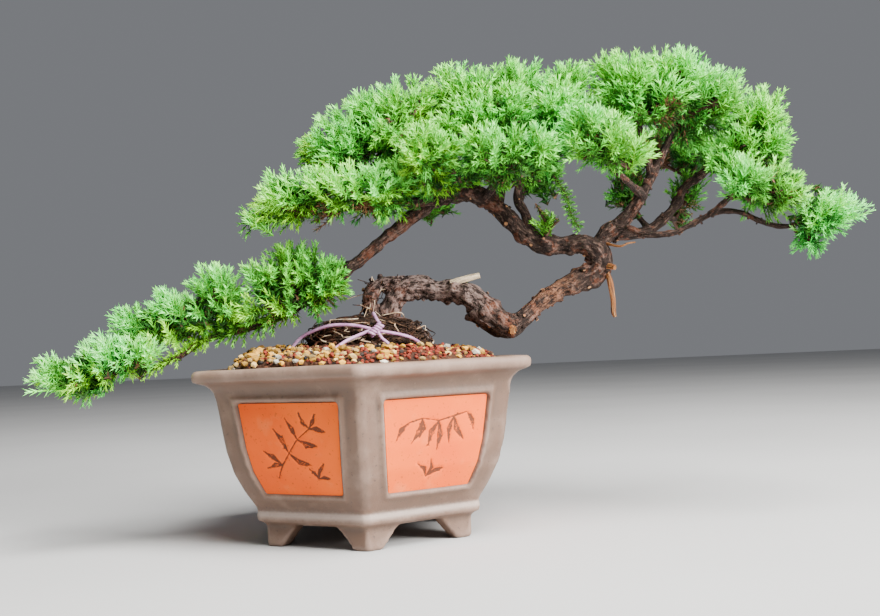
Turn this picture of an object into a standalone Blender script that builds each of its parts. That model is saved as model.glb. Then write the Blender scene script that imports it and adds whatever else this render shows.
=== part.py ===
"""A procumbens nana juniper bonsai in its six-sided unglazed clay pot.

Units are metres, +Z is up and the pot stands on its six feet on the plane z = 0. Tables of places are
in millimetres from the pot's axis, with one corner of the pot towards -Y. At the end the empty that
carries everything is moved so that the origin lies under the middle of the whole tree's box.
"""

import math
import random
from itertools import cycle

import bmesh
import bpy
from mathutils import Matrix, Vector, noise
from mathutils.bvhtree import BVHTree

MM = 0.001
FIT_GAP = 0.35 * MM
MERGE = 0.01 * MM
HEX_APOTHEM = math.cos(math.radians(30))

# Pot: corner radius and height of each level. The rim and wall run down, the bowl and lip run up.
POT_HEIGHT = 107.8
POT_FLOOR = 21.5
POT_UNDERSIDE = 13.4
POT_BOWL = [(64, POT_FLOOR), (77, 30), (85.5, 48), (90.5, 72)]
POT_LIP = [(94, 102.5), (96.5, POT_HEIGHT)]
POT_RIM = [(113.6, POT_HEIGHT), (115.5, POT_HEIGHT - 1.8), (115.5, 102), (113.8, 100.8)]
POT_WALL = [
    (107, 98.9), (102.4, 95), (100.2, 88), (98.3, 77), (95.2, 59), (90.6, 44.8), (84.4, 33.8),
    (76.4, 22.4), (77.4, 19.2), (76.8, 16), (71, POT_UNDERSIDE),
]
CORNER_ROUND = 2.2 * MM
DRAIN_HOLE_R = 11 * MM

# Feet: a six-sided ring, cut away between wings that widen towards the pot
FOOT_OUTER_R = 70.8
FOOT_INNER_R = 58
FOOT_WING_TOP = 21
FOOT_WING_BOTTOM = 8
FOOT_ROOT = 1.6
FOOT_BEVEL = 1.2

# Panels of orange clay let into each side, and the moulding round them
PANEL_LOW, PANEL_HIGH = 33.5, 86.5
PANEL_CORNER_MARGIN = 15.5
PANEL_RECESS = 0.8
PANEL_THICK = 1.6
PANEL_TAPER = 0.2
POCKET_GAP = 0.4
POCKET_DRAFT = 1.2
MOULDING_WIDTH = 5
MOULDING_RISE = 1.5
MOULDING_SLOPE = 1.8
MOULDING_ROOT = 1.2
SIDE_LEVELS = 4

# Soil, gravel and the old root ball that shows above them
SOIL_EDGE_Z = 103.6
MOUND_RISE = 20
MOUND_REACH = 90
MOUND_CURVE = 0.7
GRAVEL_STEP = 11.5 * MM
GRAVEL_RELIEF = 1.7 * MM
GRAVEL_DEPTH = 6
ROOT_BALL_CENTRE = Vector((3, 3, 115)) * MM
ROOT_BALL_RADII = Vector((42, 33, 23)) * MM
ROOT_BALL_FIT = 1.016
ROOT_BALL_LUMPS = 0.09
LUMPS_ACROSS = 2.3

# Plastic screen over the drain hole
SCREEN_R = 17 * MM
SCREEN_THICK = 1.6 * MM
SCREEN_HOLE = 5.5 * MM
SCREEN_HOLE_PLACE = 5 * MM

# Wood: x, y, z and radius along each route
TRUNK = [
    (14, 9, 118, 10), (13, 8, 127, 8.5), (18, 6, 141, 6.5), (22, 4, 151, 6.5), (33, 2, 155, 8),
    (48, 0, 152, 8.2), (62, -3, 150, 8), (74, -6, 143, 8), (83, -9, 133, 8.3), (91, -10, 127, 7.5),
    (101, -8, 131, 7), (112, -4, 140, 7), (124, 0, 148, 7.5), (139, 3, 154, 8), (151, 5, 159, 9),
    (155, 6, 167, 9), (150, 6, 175, 8.5), (142, 7, 178, 8), (129, 8, 178, 7), (118, 8, 180, 7),
    (107, 7, 186, 6.8), (98, 5, 194, 6.3), (90, 3, 203, 6), (81, 0, 210, 6), (70, -3, 213, 5.8),
    (58, -6, 211, 5.2), (47, -9, 208, 4.6),
]
BRANCHES = {
    "cascade": [
        (49, -8, 209, 4), (36, -12, 200, 4), (24, -15, 190, 3.8), (13, -18, 182, 3.4), (3, -20, 173, 3.3),
        (-8, -22, 165, 3.2), (-22, -23, 153, 2.8), (-38, -24, 144, 2.6), (-56, -26, 136, 2.4),
        (-74, -28, 131, 2.2), (-95, -31, 126, 2), (-108, -34, 118, 1.9), (-120, -36, 112, 1.7),
        (-131, -37, 109, 1.5),
    ],
    "left_low": [(50, -9, 209, 3.4), (38, -20, 206, 2.8), (27, -28, 205, 2.2)],
    "left_upper": [(58, -6, 211, 3.8), (50, 0, 221, 3), (42, 5, 233, 2.6), (34, 6, 243, 2)],
    "left_front": [(60, -6, 211, 3), (54, -22, 214, 2.4), (49, -34, 217, 1.8)],
    "crown_left": [(72, -3, 212, 4), (78, 8, 229, 3), (84, 14, 247, 2.2)],
    "crown_front": [(81, 0, 210, 3), (84, -22, 213, 2.4), (86, -36, 216, 1.8)],
    "crown_mid": [
        (112, 7, 185, 3.4), (108, 8, 199, 2.8), (103, 9, 212, 2.6), (111, 10, 232, 2.2),
        (122, 9, 248, 1.8),
    ],
    "under_centre": [(104, 9, 209, 2), (109, 14, 216, 1.8), (113, 17, 220, 1.5)],
    "apex": [
        (152, 6, 173, 5.5), (159, 6, 183, 4.6), (168, 5, 190, 4.2), (176, 4, 198, 3.8), (184, 2, 209, 3.5),
        (189, 0, 219, 3.3), (195, -2, 230, 3), (202, -3, 243, 2.4), (206, -4, 252, 2),
    ],
    "front_centre": [(184, 2, 208, 2.6), (172, -20, 212, 2.2), (158, -42, 217, 1.8)],
    "apex_left": [(190, 0, 220, 2.6), (185, -8, 235, 2.2), (180, -13, 250, 1.8)],
    "right_inner": [
        (160, 7, 184, 4), (176, 13, 184, 3.6), (191, 17, 187, 3.4), (203, 20, 196, 3.1),
        (211, 22, 204, 2.9), (217, 21, 215, 2.5), (230, 16, 225, 2.1), (241, 10, 234, 1.7),
    ],
    "right_long": [
        (166, 4, 189, 3), (173, 0, 187, 2.6), (180, -5, 183, 2.5), (190, -10, 181, 2.4),
        (201, -12, 182, 2.3), (212, -14, 187, 2.2), (223, -15, 192, 2.2), (233, -15, 194, 2.1),
        (243, -16, 192, 2), (253, -16, 187, 1.9), (263, -18, 183, 1.7), (272, -20, 182, 1.5),
    ],
    "right_mid": [(223, -15, 192, 1.8), (228, -22, 197, 1.6), (232, -28, 201, 1.4)],
    "inner_right": [(191, 17, 187, 2.2), (187, 23, 194, 1.8), (183, 27, 202, 1.5)],
    "under_left": [(58, -6, 211, 2.6), (54, 6, 210, 2.2), (50, 13, 209, 1.6)],
    "back_left": [(60, -5, 212, 3), (55, 18, 220, 2.6), (48, 38, 228, 2)],
    "back_middle": [(90, 3, 203, 3), (95, 28, 217, 2.6), (101, 48, 230, 2)],
    "back_right": [(211, 22, 204, 2.6), (222, 40, 215, 2.2), (230, 52, 225, 1.7)],
    "trunk_tuft": [(120, 7, 182, 2), (121, 3, 189, 1.4)],
    "inner_low": [(203, 20, 196, 2), (211, 28, 194, 1.4)],
}
STOUT_BRANCH = 3.2
DEAD_STUBS = {
    "hanging": [(158, 4, 162, 3.4), (160, 1, 151, 2.2), (161, 0, 140, 2), (162, 1, 129, 1.6)],
    "side_twig": [(158, 3, 178, 1.6), (166, -4, 175, 1), (175, -6, 177, 0.7)],
    "top_of_trunk": [(55, -5, 155, 3), (66, -8, 158.5, 2.4), (76, -8, 161, 1.9)],
    "low_elbow": [(88, -11, 129, 5), (95, -15, 123.5, 3.6)],
    "elbow_knot": [(155, 3, 164, 3), (162, -6, 160.5, 2)],
}
SURFACE_ROOTS = [
    [(13, 8, 129, 6), (-3, 2, 134.5, 3.4), (-18, -4, 130.5, 2)],
    [(13, 8, 129, 6), (8, -8, 133, 3), (4, -20, 126.5, 1.8)],
    [(13, 8, 129, 6), (27, 0, 131, 3), (36, -4, 125.5, 1.8)],
    [(13, 8, 129, 6), (22, 18, 130, 3), (26, 25, 124.8, 1.8)],
    [(13, 8, 129, 6), (-4, 16, 132.5, 3), (-14, 22, 127, 1.8)],
]
BARK_KNOTS = 0.16
KNOT_PACE = 0.9

# Tie wire: x and z of each point over the front of the root ball. The ends go down into the soil.
WIRE_R = 1.0
WIRE_HOLE_R = 1.9
WIRE_LIFT = 1.6
WIRE_STAND_OFF = 1.05
TWIST_PLACE = (8, 127)
TWIST_LEAN = Vector((2.2, 0.6, 1.6)) * MM
TWIST_R = 1.35 * MM
WIRE_OVER = [
    (-34, 126), (-24, 130), (-10, 129.5), (1, 127.4), TWIST_PLACE, (15, 125.5), (24, 123.4), (31, 121),
]
WIRE_LOWER = [(7, 127), (-1, 124.8), (-8, 122.6)]
WIRE_CROSS = [(9, 134), (11, 129.6), (8.6, 127), (13, 121.6)]
LEFT_END = [(-47, -21, 112), (-43, -17, 120)]
RIGHT_END = [(36, -22, 119), (39, -25, 111)]
LOWER_END = [(-13, -34, 119.6), (-17, -40, 111)]
CROSS_END = [(17, -33, 118), (19, -36, 110)]

# Foliage pads: the branch and the knot on it that carry each pad, where -1 is the branch's end, and
# the pad's lumps as the centre and half sizes of each
PADS = {
    "cascade_inner": ("cascade", 5, [(-26, -21, 163, 23, 25, 18), (-56, -23, 155, 22, 26, 18)]),
    "cascade_mid": ("cascade", 9, [(-84, -28, 148, 19, 24, 17), (-118, -32, 140, 23, 25, 17)]),
    "cascade_tip": ("cascade", -1, [(-149, -36, 120, 22, 25, 17), (-174, -40, 105, 21, 21, 14)]),
    "left_low": (
        "left_low", -1,
        [(13, -41, 211, 19, 26, 18), (-15, -44, 212, 21, 28, 19), (-44, -40, 208, 21, 26, 16)],
    ),
    "left_upper": (
        "left_upper", -1,
        [(32, 2, 269, 23, 33, 22), (4, 5, 262, 22, 32, 22), (-23, 9, 248, 21, 29, 17)],
    ),
    "left_front": ("left_front", -1, [(42, -54, 232, 21, 26, 20)]),
    "crown_left": ("crown_left", -1, [(69, 10, 278, 26, 34, 25), (103, 10, 278, 25, 34, 25)]),
    "crown_front": ("crown_front", -1, [(78, -55, 232, 21, 26, 20), (106, -59, 230, 19, 24, 18)]),
    "crown_mid": ("crown_mid", -1, [(137, 5, 275, 24, 34, 23)]),
    "front_centre": ("front_centre", -1, [(136, -61, 239, 19, 25, 18), (161, -64, 227, 20, 23, 15)]),
    "apex_left": ("apex_left", -1, [(170, -12, 277, 24, 34, 24)]),
    "apex_right": ("apex", -1, [(204, -5, 280, 24, 35, 24), (233, -2, 268, 22, 34, 23)]),
    "right_upper": ("right_inner", -1, [(261, 4, 256, 22, 32, 22), (268, -5, 234, 17, 27, 16)]),
    "right_mid": ("right_mid", -1, [(239, -38, 211, 18, 24, 18), (266, -31, 206, 18, 24, 17)]),
    "right_tip": ("right_long", -1, [(291, -26, 190, 22, 25, 17), (281, -24, 170, 14, 17, 12)]),
    "under_centre": ("under_centre", -1, [(126, 20, 228, 15, 17, 12)]),
    "under_left": ("under_left", -1, [(44, 25, 209, 19, 18, 11)]),
    "inner_right": ("inner_right", -1, [(175, 31, 210, 15, 15, 10)]),
    "back_left": ("back_left", -1, [(26, 60, 243, 23, 25, 18), (55, 65, 250, 20, 25, 19)]),
    "back_middle": ("back_middle", -1, [(95, 68, 256, 22, 25, 20), (129, 69, 258, 21, 25, 20)]),
    "back_right": ("back_right", -1, [(233, 60, 247, 22, 25, 19), (200, 60, 252, 20, 23, 18)]),
    "trunk_tuft": ("trunk_tuft", -1, [(122, -1, 199, 12, 12, 9)]),
    "inner_low": ("inner_low", -1, [(219, 36, 194, 12, 14, 9)]),
}
CORE_SHARE = 0.57
NECK_SHARE = 0.8
CORE_ROUGHNESS = 0.4
ROUGHNESS_SCALE = 70
FACET = 9.6 * MM
FACET_SHARE = 0.45
UNDERSIDE = -0.4
SHOOTS_PER_LUMP = 4
SHOOT_JOINTS = (2, 2, 1)
SHOOT_R = 1.3 * MM
SHOOT_TAPER = 0.25
SHOOT_STEP = 5.5 * MM
SHOOT_TWIST = math.radians(60)
SHOOT_LIFT = 0.35
SHOOT_SPREAD = 0.2
NEEDLE_OUT = 5.2 * MM
NEEDLE_LEAN = 0.15
NEEDLE_STEEPNESS = 1
SHOOT_NEEDLE_OUT = 4.5 * MM
SHOOT_NEEDLE_LEAN = 2.2 * MM
TWIG_R = 1.25 * MM
TWIG_COLLAR = 2.5 * MM
CLEARANCE = 0.5 * MM
CORE_CLEARANCE = 1.2 * MM
BEND_ROUNDS = 60
BEND_STEP = 0.1

MATERIALS = {
    "pot_clay": ((0.23, 0.165, 0.135), 0.62),
    "panel_clay": ((0.78, 0.22, 0.075), 0.7),
    "soil": ((0.34, 0.15, 0.08), 0.95),
    "bark": ((0.085, 0.052, 0.038), 0.9),
    "wire_cover": ((0.60, 0.42, 0.56), 0.45),
    "needles": ((0.10, 0.30, 0.09), 0.6),
    "screen_plastic": ((0.03, 0.03, 0.03), 0.6),
}


def clear_scene():
    for obj in list(bpy.data.objects):
        bpy.data.objects.remove(obj)


def make_materials():
    made = {}
    for name, (colour, roughness) in MATERIALS.items():
        material = bpy.data.materials.new(name)
        material.use_nodes = True
        shader = material.node_tree.nodes["Principled BSDF"]
        shader.inputs["Base Color"].default_value = (*colour, 1)
        shader.inputs["Roughness"].default_value = roughness
        shader.inputs["Metallic"].default_value = 0
        material.diffuse_color = (*colour, 1)
        made[name] = material
    return made


def add_object(name, mesh, collection):
    obj = bpy.data.objects.new(name, mesh)
    collection.objects.link(obj)
    return obj


def object_from(bm, name, collection):
    mesh = bpy.data.meshes.new(name)
    bm.to_mesh(mesh)
    bm.free()
    return add_object(name, mesh, collection)


def evaluated_mesh(obj):
    graph = bpy.context.evaluated_depsgraph_get()
    return bpy.data.meshes.new_from_object(obj.evaluated_get(graph))


def boolean(target, operands, operation, solver="EXACT"):
    """Cuts or joins the operands to the target, applies the result and removes the operands."""
    group = bpy.data.collections.new("operands")
    for obj in operands:
        for owner in list(obj.users_collection):
            owner.objects.unlink(obj)
        group.objects.link(obj)
    bpy.context.scene.collection.children.link(group)
    modifier = target.modifiers.new("boolean", "BOOLEAN")
    modifier.operation = operation
    modifier.solver = solver
    modifier.operand_type = "COLLECTION"
    modifier.collection = group
    bpy.context.view_layer.update()
    mesh = evaluated_mesh(target)
    target.modifiers.clear()
    target.data = mesh
    for obj in operands:
        bpy.data.objects.remove(obj)
    bpy.data.collections.remove(group)
    return target


def part_shared_edges(bm):
    """Where triangulation laid a diagonal on an edge that two other faces share, the two faces beside
    the diagonal are split at its middle, so that every edge again has two faces."""
    for edge in [edge for edge in bm.edges if len(edge.link_faces) > 2]:
        start, end = edge.verts
        leaving = [loop for loop in edge.link_loops if loop.vert is start]
        arriving = [loop for loop in edge.link_loops if loop.vert is end]
        pairs = [(one, two) for one in leaving for two in arriving]
        flattest = max(pairs, key=lambda pair: pair[0].face.normal.dot(pair[1].face.normal))
        corners = [(loop.vert, loop.link_loop_next.vert, loop.link_loop_prev.vert) for loop in flattest]
        middle = bm.verts.new((start.co + end.co) / 2)
        bmesh.ops.delete(bm, geom=[loop.face for loop in flattest], context="FACES_ONLY")
        for first, second, far in corners:
            bm.faces.new((first, middle, far))
            bm.faces.new((middle, second, far))


def keep_main_body(obj):
    """Drops loose scraps and fills sealed hollows: only the largest shell stays."""
    bm = bmesh.new()
    bm.from_mesh(obj.data)
    bmesh.ops.triangulate(bm, faces=bm.faces)
    part_shared_edges(bm)
    unseen = set(bm.faces)
    shells = []
    while unseen:
        shell = {unseen.pop()}
        front = list(shell)
        while front:
            beside = {other for edge in front.pop().edges for other in edge.link_faces} & unseen
            unseen -= beside
            shell |= beside
            front += beside
        shells.append(shell)
    largest = max(shells, key=lambda shell: sum(face.calc_area() for face in shell))
    spare = [face for shell in shells if shell is not largest for face in shell]
    bmesh.ops.delete(bm, geom=spare, context="FACES")
    bm.to_mesh(obj.data)
    bm.free()


def corner_radius(height):
    """Corner radius of the pot's wall at a height, both in millimetres."""
    for (r_high, z_high), (r_low, z_low) in zip(POT_WALL, POT_WALL[1:]):
        if z_low <= height <= z_high:
            return r_low + (height - z_low) / (z_high - z_low) * (r_high - r_low)
    return POT_WALL[0][0]


def hex_turned(name, profile, collection):
    """A six-sided solid from a profile that runs down its outer side, with a corner towards -Y."""
    mesh = bpy.data.meshes.new(name)
    points = [(radius * MM, 0, height * MM) for radius, height in profile]
    mesh.from_pydata(points, [(i, i + 1) for i in range(len(points) - 1)], [])
    obj = add_object(name, mesh, collection)
    screw = obj.modifiers.new("six_sides", "SCREW")
    screw.steps = 6
    screw.render_steps = 6
    screw.use_merge_vertices = True
    screw.merge_threshold = MERGE
    obj.data = evaluated_mesh(obj)
    obj.modifiers.clear()
    obj.data.transform(Matrix.Rotation(math.radians(30), 4, "Z"))
    return obj


def upright_disc(name, radius, low, high, sides, collection):
    """A round block that stands on the pot's axis between two heights, in metres."""
    bm = bmesh.new()
    place = Matrix.Translation((0, 0, (low + high) / 2))
    bmesh.ops.create_cone(
        bm, cap_ends=True, segments=sides, radius1=radius, radius2=radius, depth=high - low, matrix=place
    )
    return object_from(bm, name, collection)


def side_block(name, side, inner, outer, collection):
    """A closed block that follows one curved side of the pot. Inner and outer each give the distance
    from the side's surface, the margin to the corners and the low and high edge, in millimetres."""
    bm = bmesh.new()
    bmesh.ops.create_cube(bm, size=1, matrix=Matrix.Translation((0, 0.5, 0.5)))
    for level in range(1, SIDE_LEVELS):
        geometry = bm.verts[:] + bm.edges[:] + bm.faces[:]
        bmesh.ops.bisect_plane(bm, geom=geometry, plane_co=(0, 0, level / SIDE_LEVELS), plane_no=(0, 0, 1))
    turn = Matrix.Rotation(math.radians(60 * side), 3, "Z")
    for vert in bm.verts:
        offset, margin, low, high = outer if vert.co.y > 0.5 else inner
        height = low + vert.co.z * (high - low)
        radius = corner_radius(height)
        half_width = radius / 2 - margin
        place = Vector((radius * HEX_APOTHEM + offset, -2 * vert.co.x * half_width, height))
        vert.co = turn @ (place * MM)
    return object_from(bm, name, collection)


def make_feet(collection):
    """A six-sided ring, cut away between the corners so that six bracket feet are left."""
    top = POT_UNDERSIDE + FOOT_ROOT
    ring = [
        (FOOT_INNER_R, top), (FOOT_OUTER_R, top), (FOOT_OUTER_R, FOOT_BEVEL),
        (FOOT_OUTER_R - FOOT_BEVEL, 0), (FOOT_INNER_R, 0), (FOOT_INNER_R, top),
    ]
    feet = hex_turned("feet", ring, collection)
    cutters = []
    for turn in range(3):
        bm = bmesh.new()
        bmesh.ops.create_cube(bm, size=2)
        for vert in bm.verts:
            upper = vert.co.z > 0
            half_width = FOOT_OUTER_R / 2 - (FOOT_WING_TOP if upper else FOOT_WING_BOTTOM)
            height = POT_UNDERSIDE if upper else -2
            vert.co = Vector((2 * FOOT_OUTER_R * vert.co.x, half_width * vert.co.y, height)) * MM
        bmesh.ops.rotate(bm, verts=bm.verts, matrix=Matrix.Rotation(math.radians(60 * turn), 3, "Z"))
        cutters.append(object_from(bm, "between_feet", collection))
    return boolean(feet, cutters, "DIFFERENCE")


def is_outer_corner(edge):
    """Whether an edge runs down one of the pot's six corners on the outside of its wall or rim."""
    a, b = (vert.co for vert in edge.verts)
    bearings = [math.degrees(math.atan2(place.y, place.x)) for place in (a, b)]
    upright = abs(bearings[0] - bearings[1]) < 0.5 and abs(a.z - b.z) > MERGE
    on_corner = abs(bearings[0] % 60 - 30) < 0.5
    faces_out = any(face.normal.dot((*a.xy, 0)) > 0 for face in edge.link_faces)
    return upright and on_corner and faces_out and min(a.xy.length, b.xy.length) > POT_BOWL[0][0] * MM


def bevel_corners(obj):
    """Softens the pot's six upright corner edges, outside only."""
    bm = bmesh.new()
    bm.from_mesh(obj.data)
    edges = [edge for edge in bm.edges if is_outer_corner(edge)]
    bmesh.ops.bevel(bm, geom=edges, offset=CORNER_ROUND, segments=1, profile=0.5, affect="EDGES")
    bm.to_mesh(obj.data)
    bm.free()


def make_pot(collection):
    """The clay bowl with its rim, its feet, a moulding and a shallow pocket on each side, and the
    drain hole in its floor."""
    profile = [(0, POT_FLOOR), *POT_BOWL, *POT_LIP, *POT_RIM, *POT_WALL, (0, POT_UNDERSIDE)]
    pot = hex_turned("pot", profile, collection)
    bevel_corners(pot)
    mouldings = []
    pockets = []
    for side in range(6):
        low, high = PANEL_LOW - MOULDING_WIDTH, PANEL_HIGH + MOULDING_WIDTH
        margin = PANEL_CORNER_MARGIN - MOULDING_WIDTH
        root = (-MOULDING_ROOT, margin, low, high)
        crest = (MOULDING_RISE, margin + MOULDING_SLOPE, low + MOULDING_SLOPE, high - MOULDING_SLOPE)
        mouldings.append(side_block("moulding", side, root, crest, collection))
        depth = PANEL_RECESS + PANEL_THICK + FIT_GAP / MM
        gap = POCKET_GAP
        floor = (-depth, PANEL_CORNER_MARGIN - gap, PANEL_LOW - gap, PANEL_HIGH + gap)
        gap += POCKET_DRAFT
        mouth = (2 * MOULDING_RISE, PANEL_CORNER_MARGIN - gap, PANEL_LOW - gap, PANEL_HIGH + gap)
        pockets.append(side_block("pocket", side, floor, mouth, collection))
    boolean(pot, [*mouldings, make_feet(collection)], "UNION")
    drain = upright_disc("drain", DRAIN_HOLE_R, 0, 2 * POT_FLOOR * MM, 16, collection)
    boolean(pot, [*pockets, drain], "DIFFERENCE")
    keep_main_body(pot)
    return pot


def make_panels(collection):
    """The six orange clay panels, each a thin slab that fills its pocket."""
    low, high = PANEL_LOW, PANEL_HIGH
    back = (-PANEL_RECESS - PANEL_THICK, PANEL_CORNER_MARGIN, low, high)
    face = (-PANEL_RECESS, PANEL_CORNER_MARGIN - PANEL_TAPER, low - PANEL_TAPER, high + PANEL_TAPER)
    return [side_block(f"pot_panel_{side + 1}", side, back, face, collection) for side in range(6)]


def mound_height(x, y):
    """Height of the gravel, in metres, at a place in the pot."""
    spread = 1 - (Vector((x, y)).length / (MOUND_REACH * MM)) ** 2
    return (SOIL_EDGE_Z + MOUND_RISE * max(spread, 0) ** MOUND_CURVE) * MM


def make_gravel_cap(collection):
    """The heaped top of the soil: a six-sided plate whose upper face is raised in stone-sized bumps."""
    rim_r = POT_LIP[0][0] * MM - 4 * FIT_GAP
    count = round(2 * rim_r / GRAVEL_STEP)
    bm = bmesh.new()
    bmesh.ops.create_grid(bm, x_segments=count, y_segments=count, size=rim_r)
    for side in range(6):
        bearing = math.radians(60 * side)
        outward = Vector((math.cos(bearing), math.sin(bearing), 0))
        bmesh.ops.bisect_plane(
            bm, geom=bm.verts[:] + bm.edges[:] + bm.faces[:], dist=MERGE,
            plane_co=outward * rim_r * HEX_APOTHEM, plane_no=outward, clear_outer=True,
        )
    bmesh.ops.remove_doubles(bm, verts=bm.verts, dist=GRAVEL_STEP / 8)
    bmesh.ops.triangulate(bm, faces=bm.faces)
    draws = random.Random(11)
    for vert in bm.verts:
        bump = 0 if vert.is_boundary else draws.uniform(-1, 1)
        vert.co.z = mound_height(vert.co.x, vert.co.y) + bump * GRAVEL_RELIEF
    rim = [edge for edge in bm.edges if edge.is_boundary]
    walls = bmesh.ops.extrude_edge_only(bm, edges=rim)["geom"]
    for vert in [item for item in walls if isinstance(item, bmesh.types.BMVert)]:
        vert.co.z = (SOIL_EDGE_Z - GRAVEL_DEPTH) * MM
    bmesh.ops.contextual_create(bm, geom=[item for item in walls if isinstance(item, bmesh.types.BMEdge)])
    bmesh.ops.triangulate(bm, faces=bm.faces)
    bmesh.ops.recalc_face_normals(bm, faces=bm.faces)
    return object_from(bm, "gravel_cap", collection)


def root_ball_mesh(scale):
    """The old root ball, a flattened dome of roots and soil. A larger scale gives its seat in the soil."""
    bm = bmesh.new()
    bmesh.ops.create_uvsphere(bm, u_segments=12, v_segments=7, radius=1)
    bmesh.ops.triangulate(bm, faces=bm.faces)
    for vert in bm.verts:
        lump = 1 + ROOT_BALL_LUMPS * noise.noise(vert.co * LUMPS_ACROSS)
        radii = ROOT_BALL_RADII * scale * lump
        vert.co = ROOT_BALL_CENTRE + Vector(a * b for a, b in zip(vert.co, radii))
    return bm


def straight_rod(name, start, end, radius, collection):
    """A closed round rod between two points."""
    along = end - start
    bm = bmesh.new()
    bmesh.ops.create_cone(
        bm, cap_ends=True, segments=6, radius1=radius, radius2=radius, depth=along.length
    )
    place = Matrix.Translation((start + end) / 2) @ along.to_track_quat("Z", "Y").to_matrix().to_4x4()
    bmesh.ops.transform(bm, verts=bm.verts, matrix=place)
    return object_from(bm, name, collection)


def wire_hole(route, collection):
    """The passage that a strand of tie wire takes through the soil, a little longer than the strand."""
    points = [(place, WIRE_HOLE_R * MM) for place, _ in route]
    for end, inner in ((0, 1), (-1, -2)):
        outward = (points[end][0] - points[inner][0]).normalized()
        points[end] = (points[end][0] + outward * FIT_GAP * 2, WIRE_HOLE_R * MM)
    return tube("wire_hole", points, 0, collection)


def make_soil(wire_routes, collection):
    """The soil that fills the pot, with seats for the root ball, the wire ends and the drain screen."""
    gap = FIT_GAP / MM
    floor = POT_FLOOR + gap
    top = SOIL_EDGE_Z - 1
    wall = [(radius - 2 * gap, max(height, floor)) for radius, height in POT_BOWL]
    profile = [(0, top), (POT_LIP[0][0] - 2 * gap, top), *reversed(wall), (0, floor)]
    soil = hex_turned("soil_and_gravel", profile, collection)
    boolean(soil, [make_gravel_cap(collection)], "UNION")
    seats = [object_from(root_ball_mesh(ROOT_BALL_FIT), "root_ball_seat", collection)]
    seats += [wire_hole(route, collection) for route in wire_routes]
    screen_top = POT_FLOOR * MM + SCREEN_THICK + FIT_GAP * 2
    seats.append(upright_disc("screen_seat", SCREEN_R + FIT_GAP * 2, 0, screen_top, 20, collection))
    boolean(soil, seats, "DIFFERENCE")
    keep_main_body(soil)
    return soil


def make_drain_screen(collection):
    """The perforated plastic disc that keeps the soil out of the drain hole."""
    low = POT_FLOOR * MM + FIT_GAP
    high = low + SCREEN_THICK
    screen = upright_disc("drain_screen", SCREEN_R, low, high, 20, collection)
    holes = []
    for row in (-1, 1):
        for column in (-1, 1):
            bm = bmesh.new()
            bmesh.ops.create_cube(bm, size=SCREEN_HOLE)
            place = (row * SCREEN_HOLE_PLACE, column * SCREEN_HOLE_PLACE, (low + high) / 2)
            bmesh.ops.translate(bm, verts=bm.verts, vec=place)
            holes.append(object_from(bm, "screen_hole", collection))
    return boolean(screen, holes, "DIFFERENCE")


def route_points(route):
    """The places and radii of a route in metres."""
    knots = [Vector(knot) * MM for knot in route]
    return [(knot.xyz, knot[3]) for knot in knots]


def tube(name, points, sides_level, collection):
    """A tube with flat ends along points with radii, as a closed mesh."""
    curve = bpy.data.curves.new(name, "CURVE")
    curve.dimensions = "3D"
    curve.bevel_depth = 1
    curve.bevel_resolution = sides_level
    curve.use_fill_caps = True
    spline = curve.splines.new("POLY")
    spline.points.add(len(points) - 1)
    for knot, (place, radius) in zip(spline.points, points):
        knot.co = (*place, 1)
        knot.radius = radius
    obj = add_object(name, curve, collection)
    mesh = evaluated_mesh(obj)
    bpy.data.objects.remove(obj)
    bm = bmesh.new()
    bm.from_mesh(mesh)
    bmesh.ops.remove_doubles(bm, verts=bm.verts, dist=MERGE)
    bmesh.ops.recalc_face_normals(bm, faces=bm.faces)
    bm.to_mesh(mesh)
    bm.free()
    return add_object(name, mesh, collection)


def knotty(points, seed):
    """The same points with the radius swelling and shrinking, as old juniper wood does."""
    made = []
    for number, (place, radius) in enumerate(points):
        swell = 1 + BARK_KNOTS * noise.noise(Vector((number * KNOT_PACE, seed * 3.7, 0.5)))
        made.append((place, radius * swell))
    return made


def make_wood(collection):
    """Trunk, branches, dead stubs and surface roots, which grew as one piece."""
    tree = tube("juniper_wood", knotty(route_points(TRUNK), 1), 2, collection)
    limbs = []
    for number, route in enumerate(BRANCHES.values()):
        sides_level = 1 if route[0][3] > STOUT_BRANCH else 0
        limbs.append(tube("branch", knotty(route_points(route), number + 2), sides_level, collection))
    for route in [*DEAD_STUBS.values(), *SURFACE_ROOTS]:
        limbs.append(tube("stub", route_points(route), 0, collection))
    limbs.append(object_from(root_ball_mesh(1), "root_ball", collection))
    boolean(tree, limbs, "UNION", "MANIFOLD")
    keep_main_body(tree)
    return tree


def on_root_ball(x, z):
    """A wire point in millimetres that lies just in front of the root ball."""
    radii = ROOT_BALL_RADII / MM + Vector((WIRE_LIFT, WIRE_LIFT, WIRE_LIFT))
    centre = ROOT_BALL_CENTRE / MM
    share = 1 - ((x - centre.x) / radii.x) ** 2 - ((z - centre.z) / radii.z) ** 2
    return (x, centre.y - radii.y * WIRE_STAND_OFF * math.sqrt(max(share, 0.02)), z)


def make_wires(collection):
    """The tie wire: its strands cross in one knot in front of the root ball, and their ends are in
    the soil. Returns the wire and its strands' routes."""
    over = [*LEFT_END, *(on_root_ball(*place) for place in WIRE_OVER), *RIGHT_END]
    lower = [*(on_root_ball(*place) for place in WIRE_LOWER), *LOWER_END]
    cross = [*(on_root_ball(*place) for place in WIRE_CROSS), *CROSS_END]
    routes = [route_points([(*point, WIRE_R) for point in strand]) for strand in (over, lower, cross)]
    strands = [tube("tie_wire", route, 1, collection) for route in routes]
    knot = Vector(on_root_ball(*TWIST_PLACE)) * MM
    for turn in (-1, 1):
        lean = Vector((turn * TWIST_LEAN.x, TWIST_LEAN.y, TWIST_LEAN.z))
        strands.append(straight_rod("twist", knot - lean, knot + lean, TWIST_R, collection))
    wire = boolean(strands[0], strands[1:], "UNION")
    keep_main_body(wire)
    return wire, routes


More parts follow.
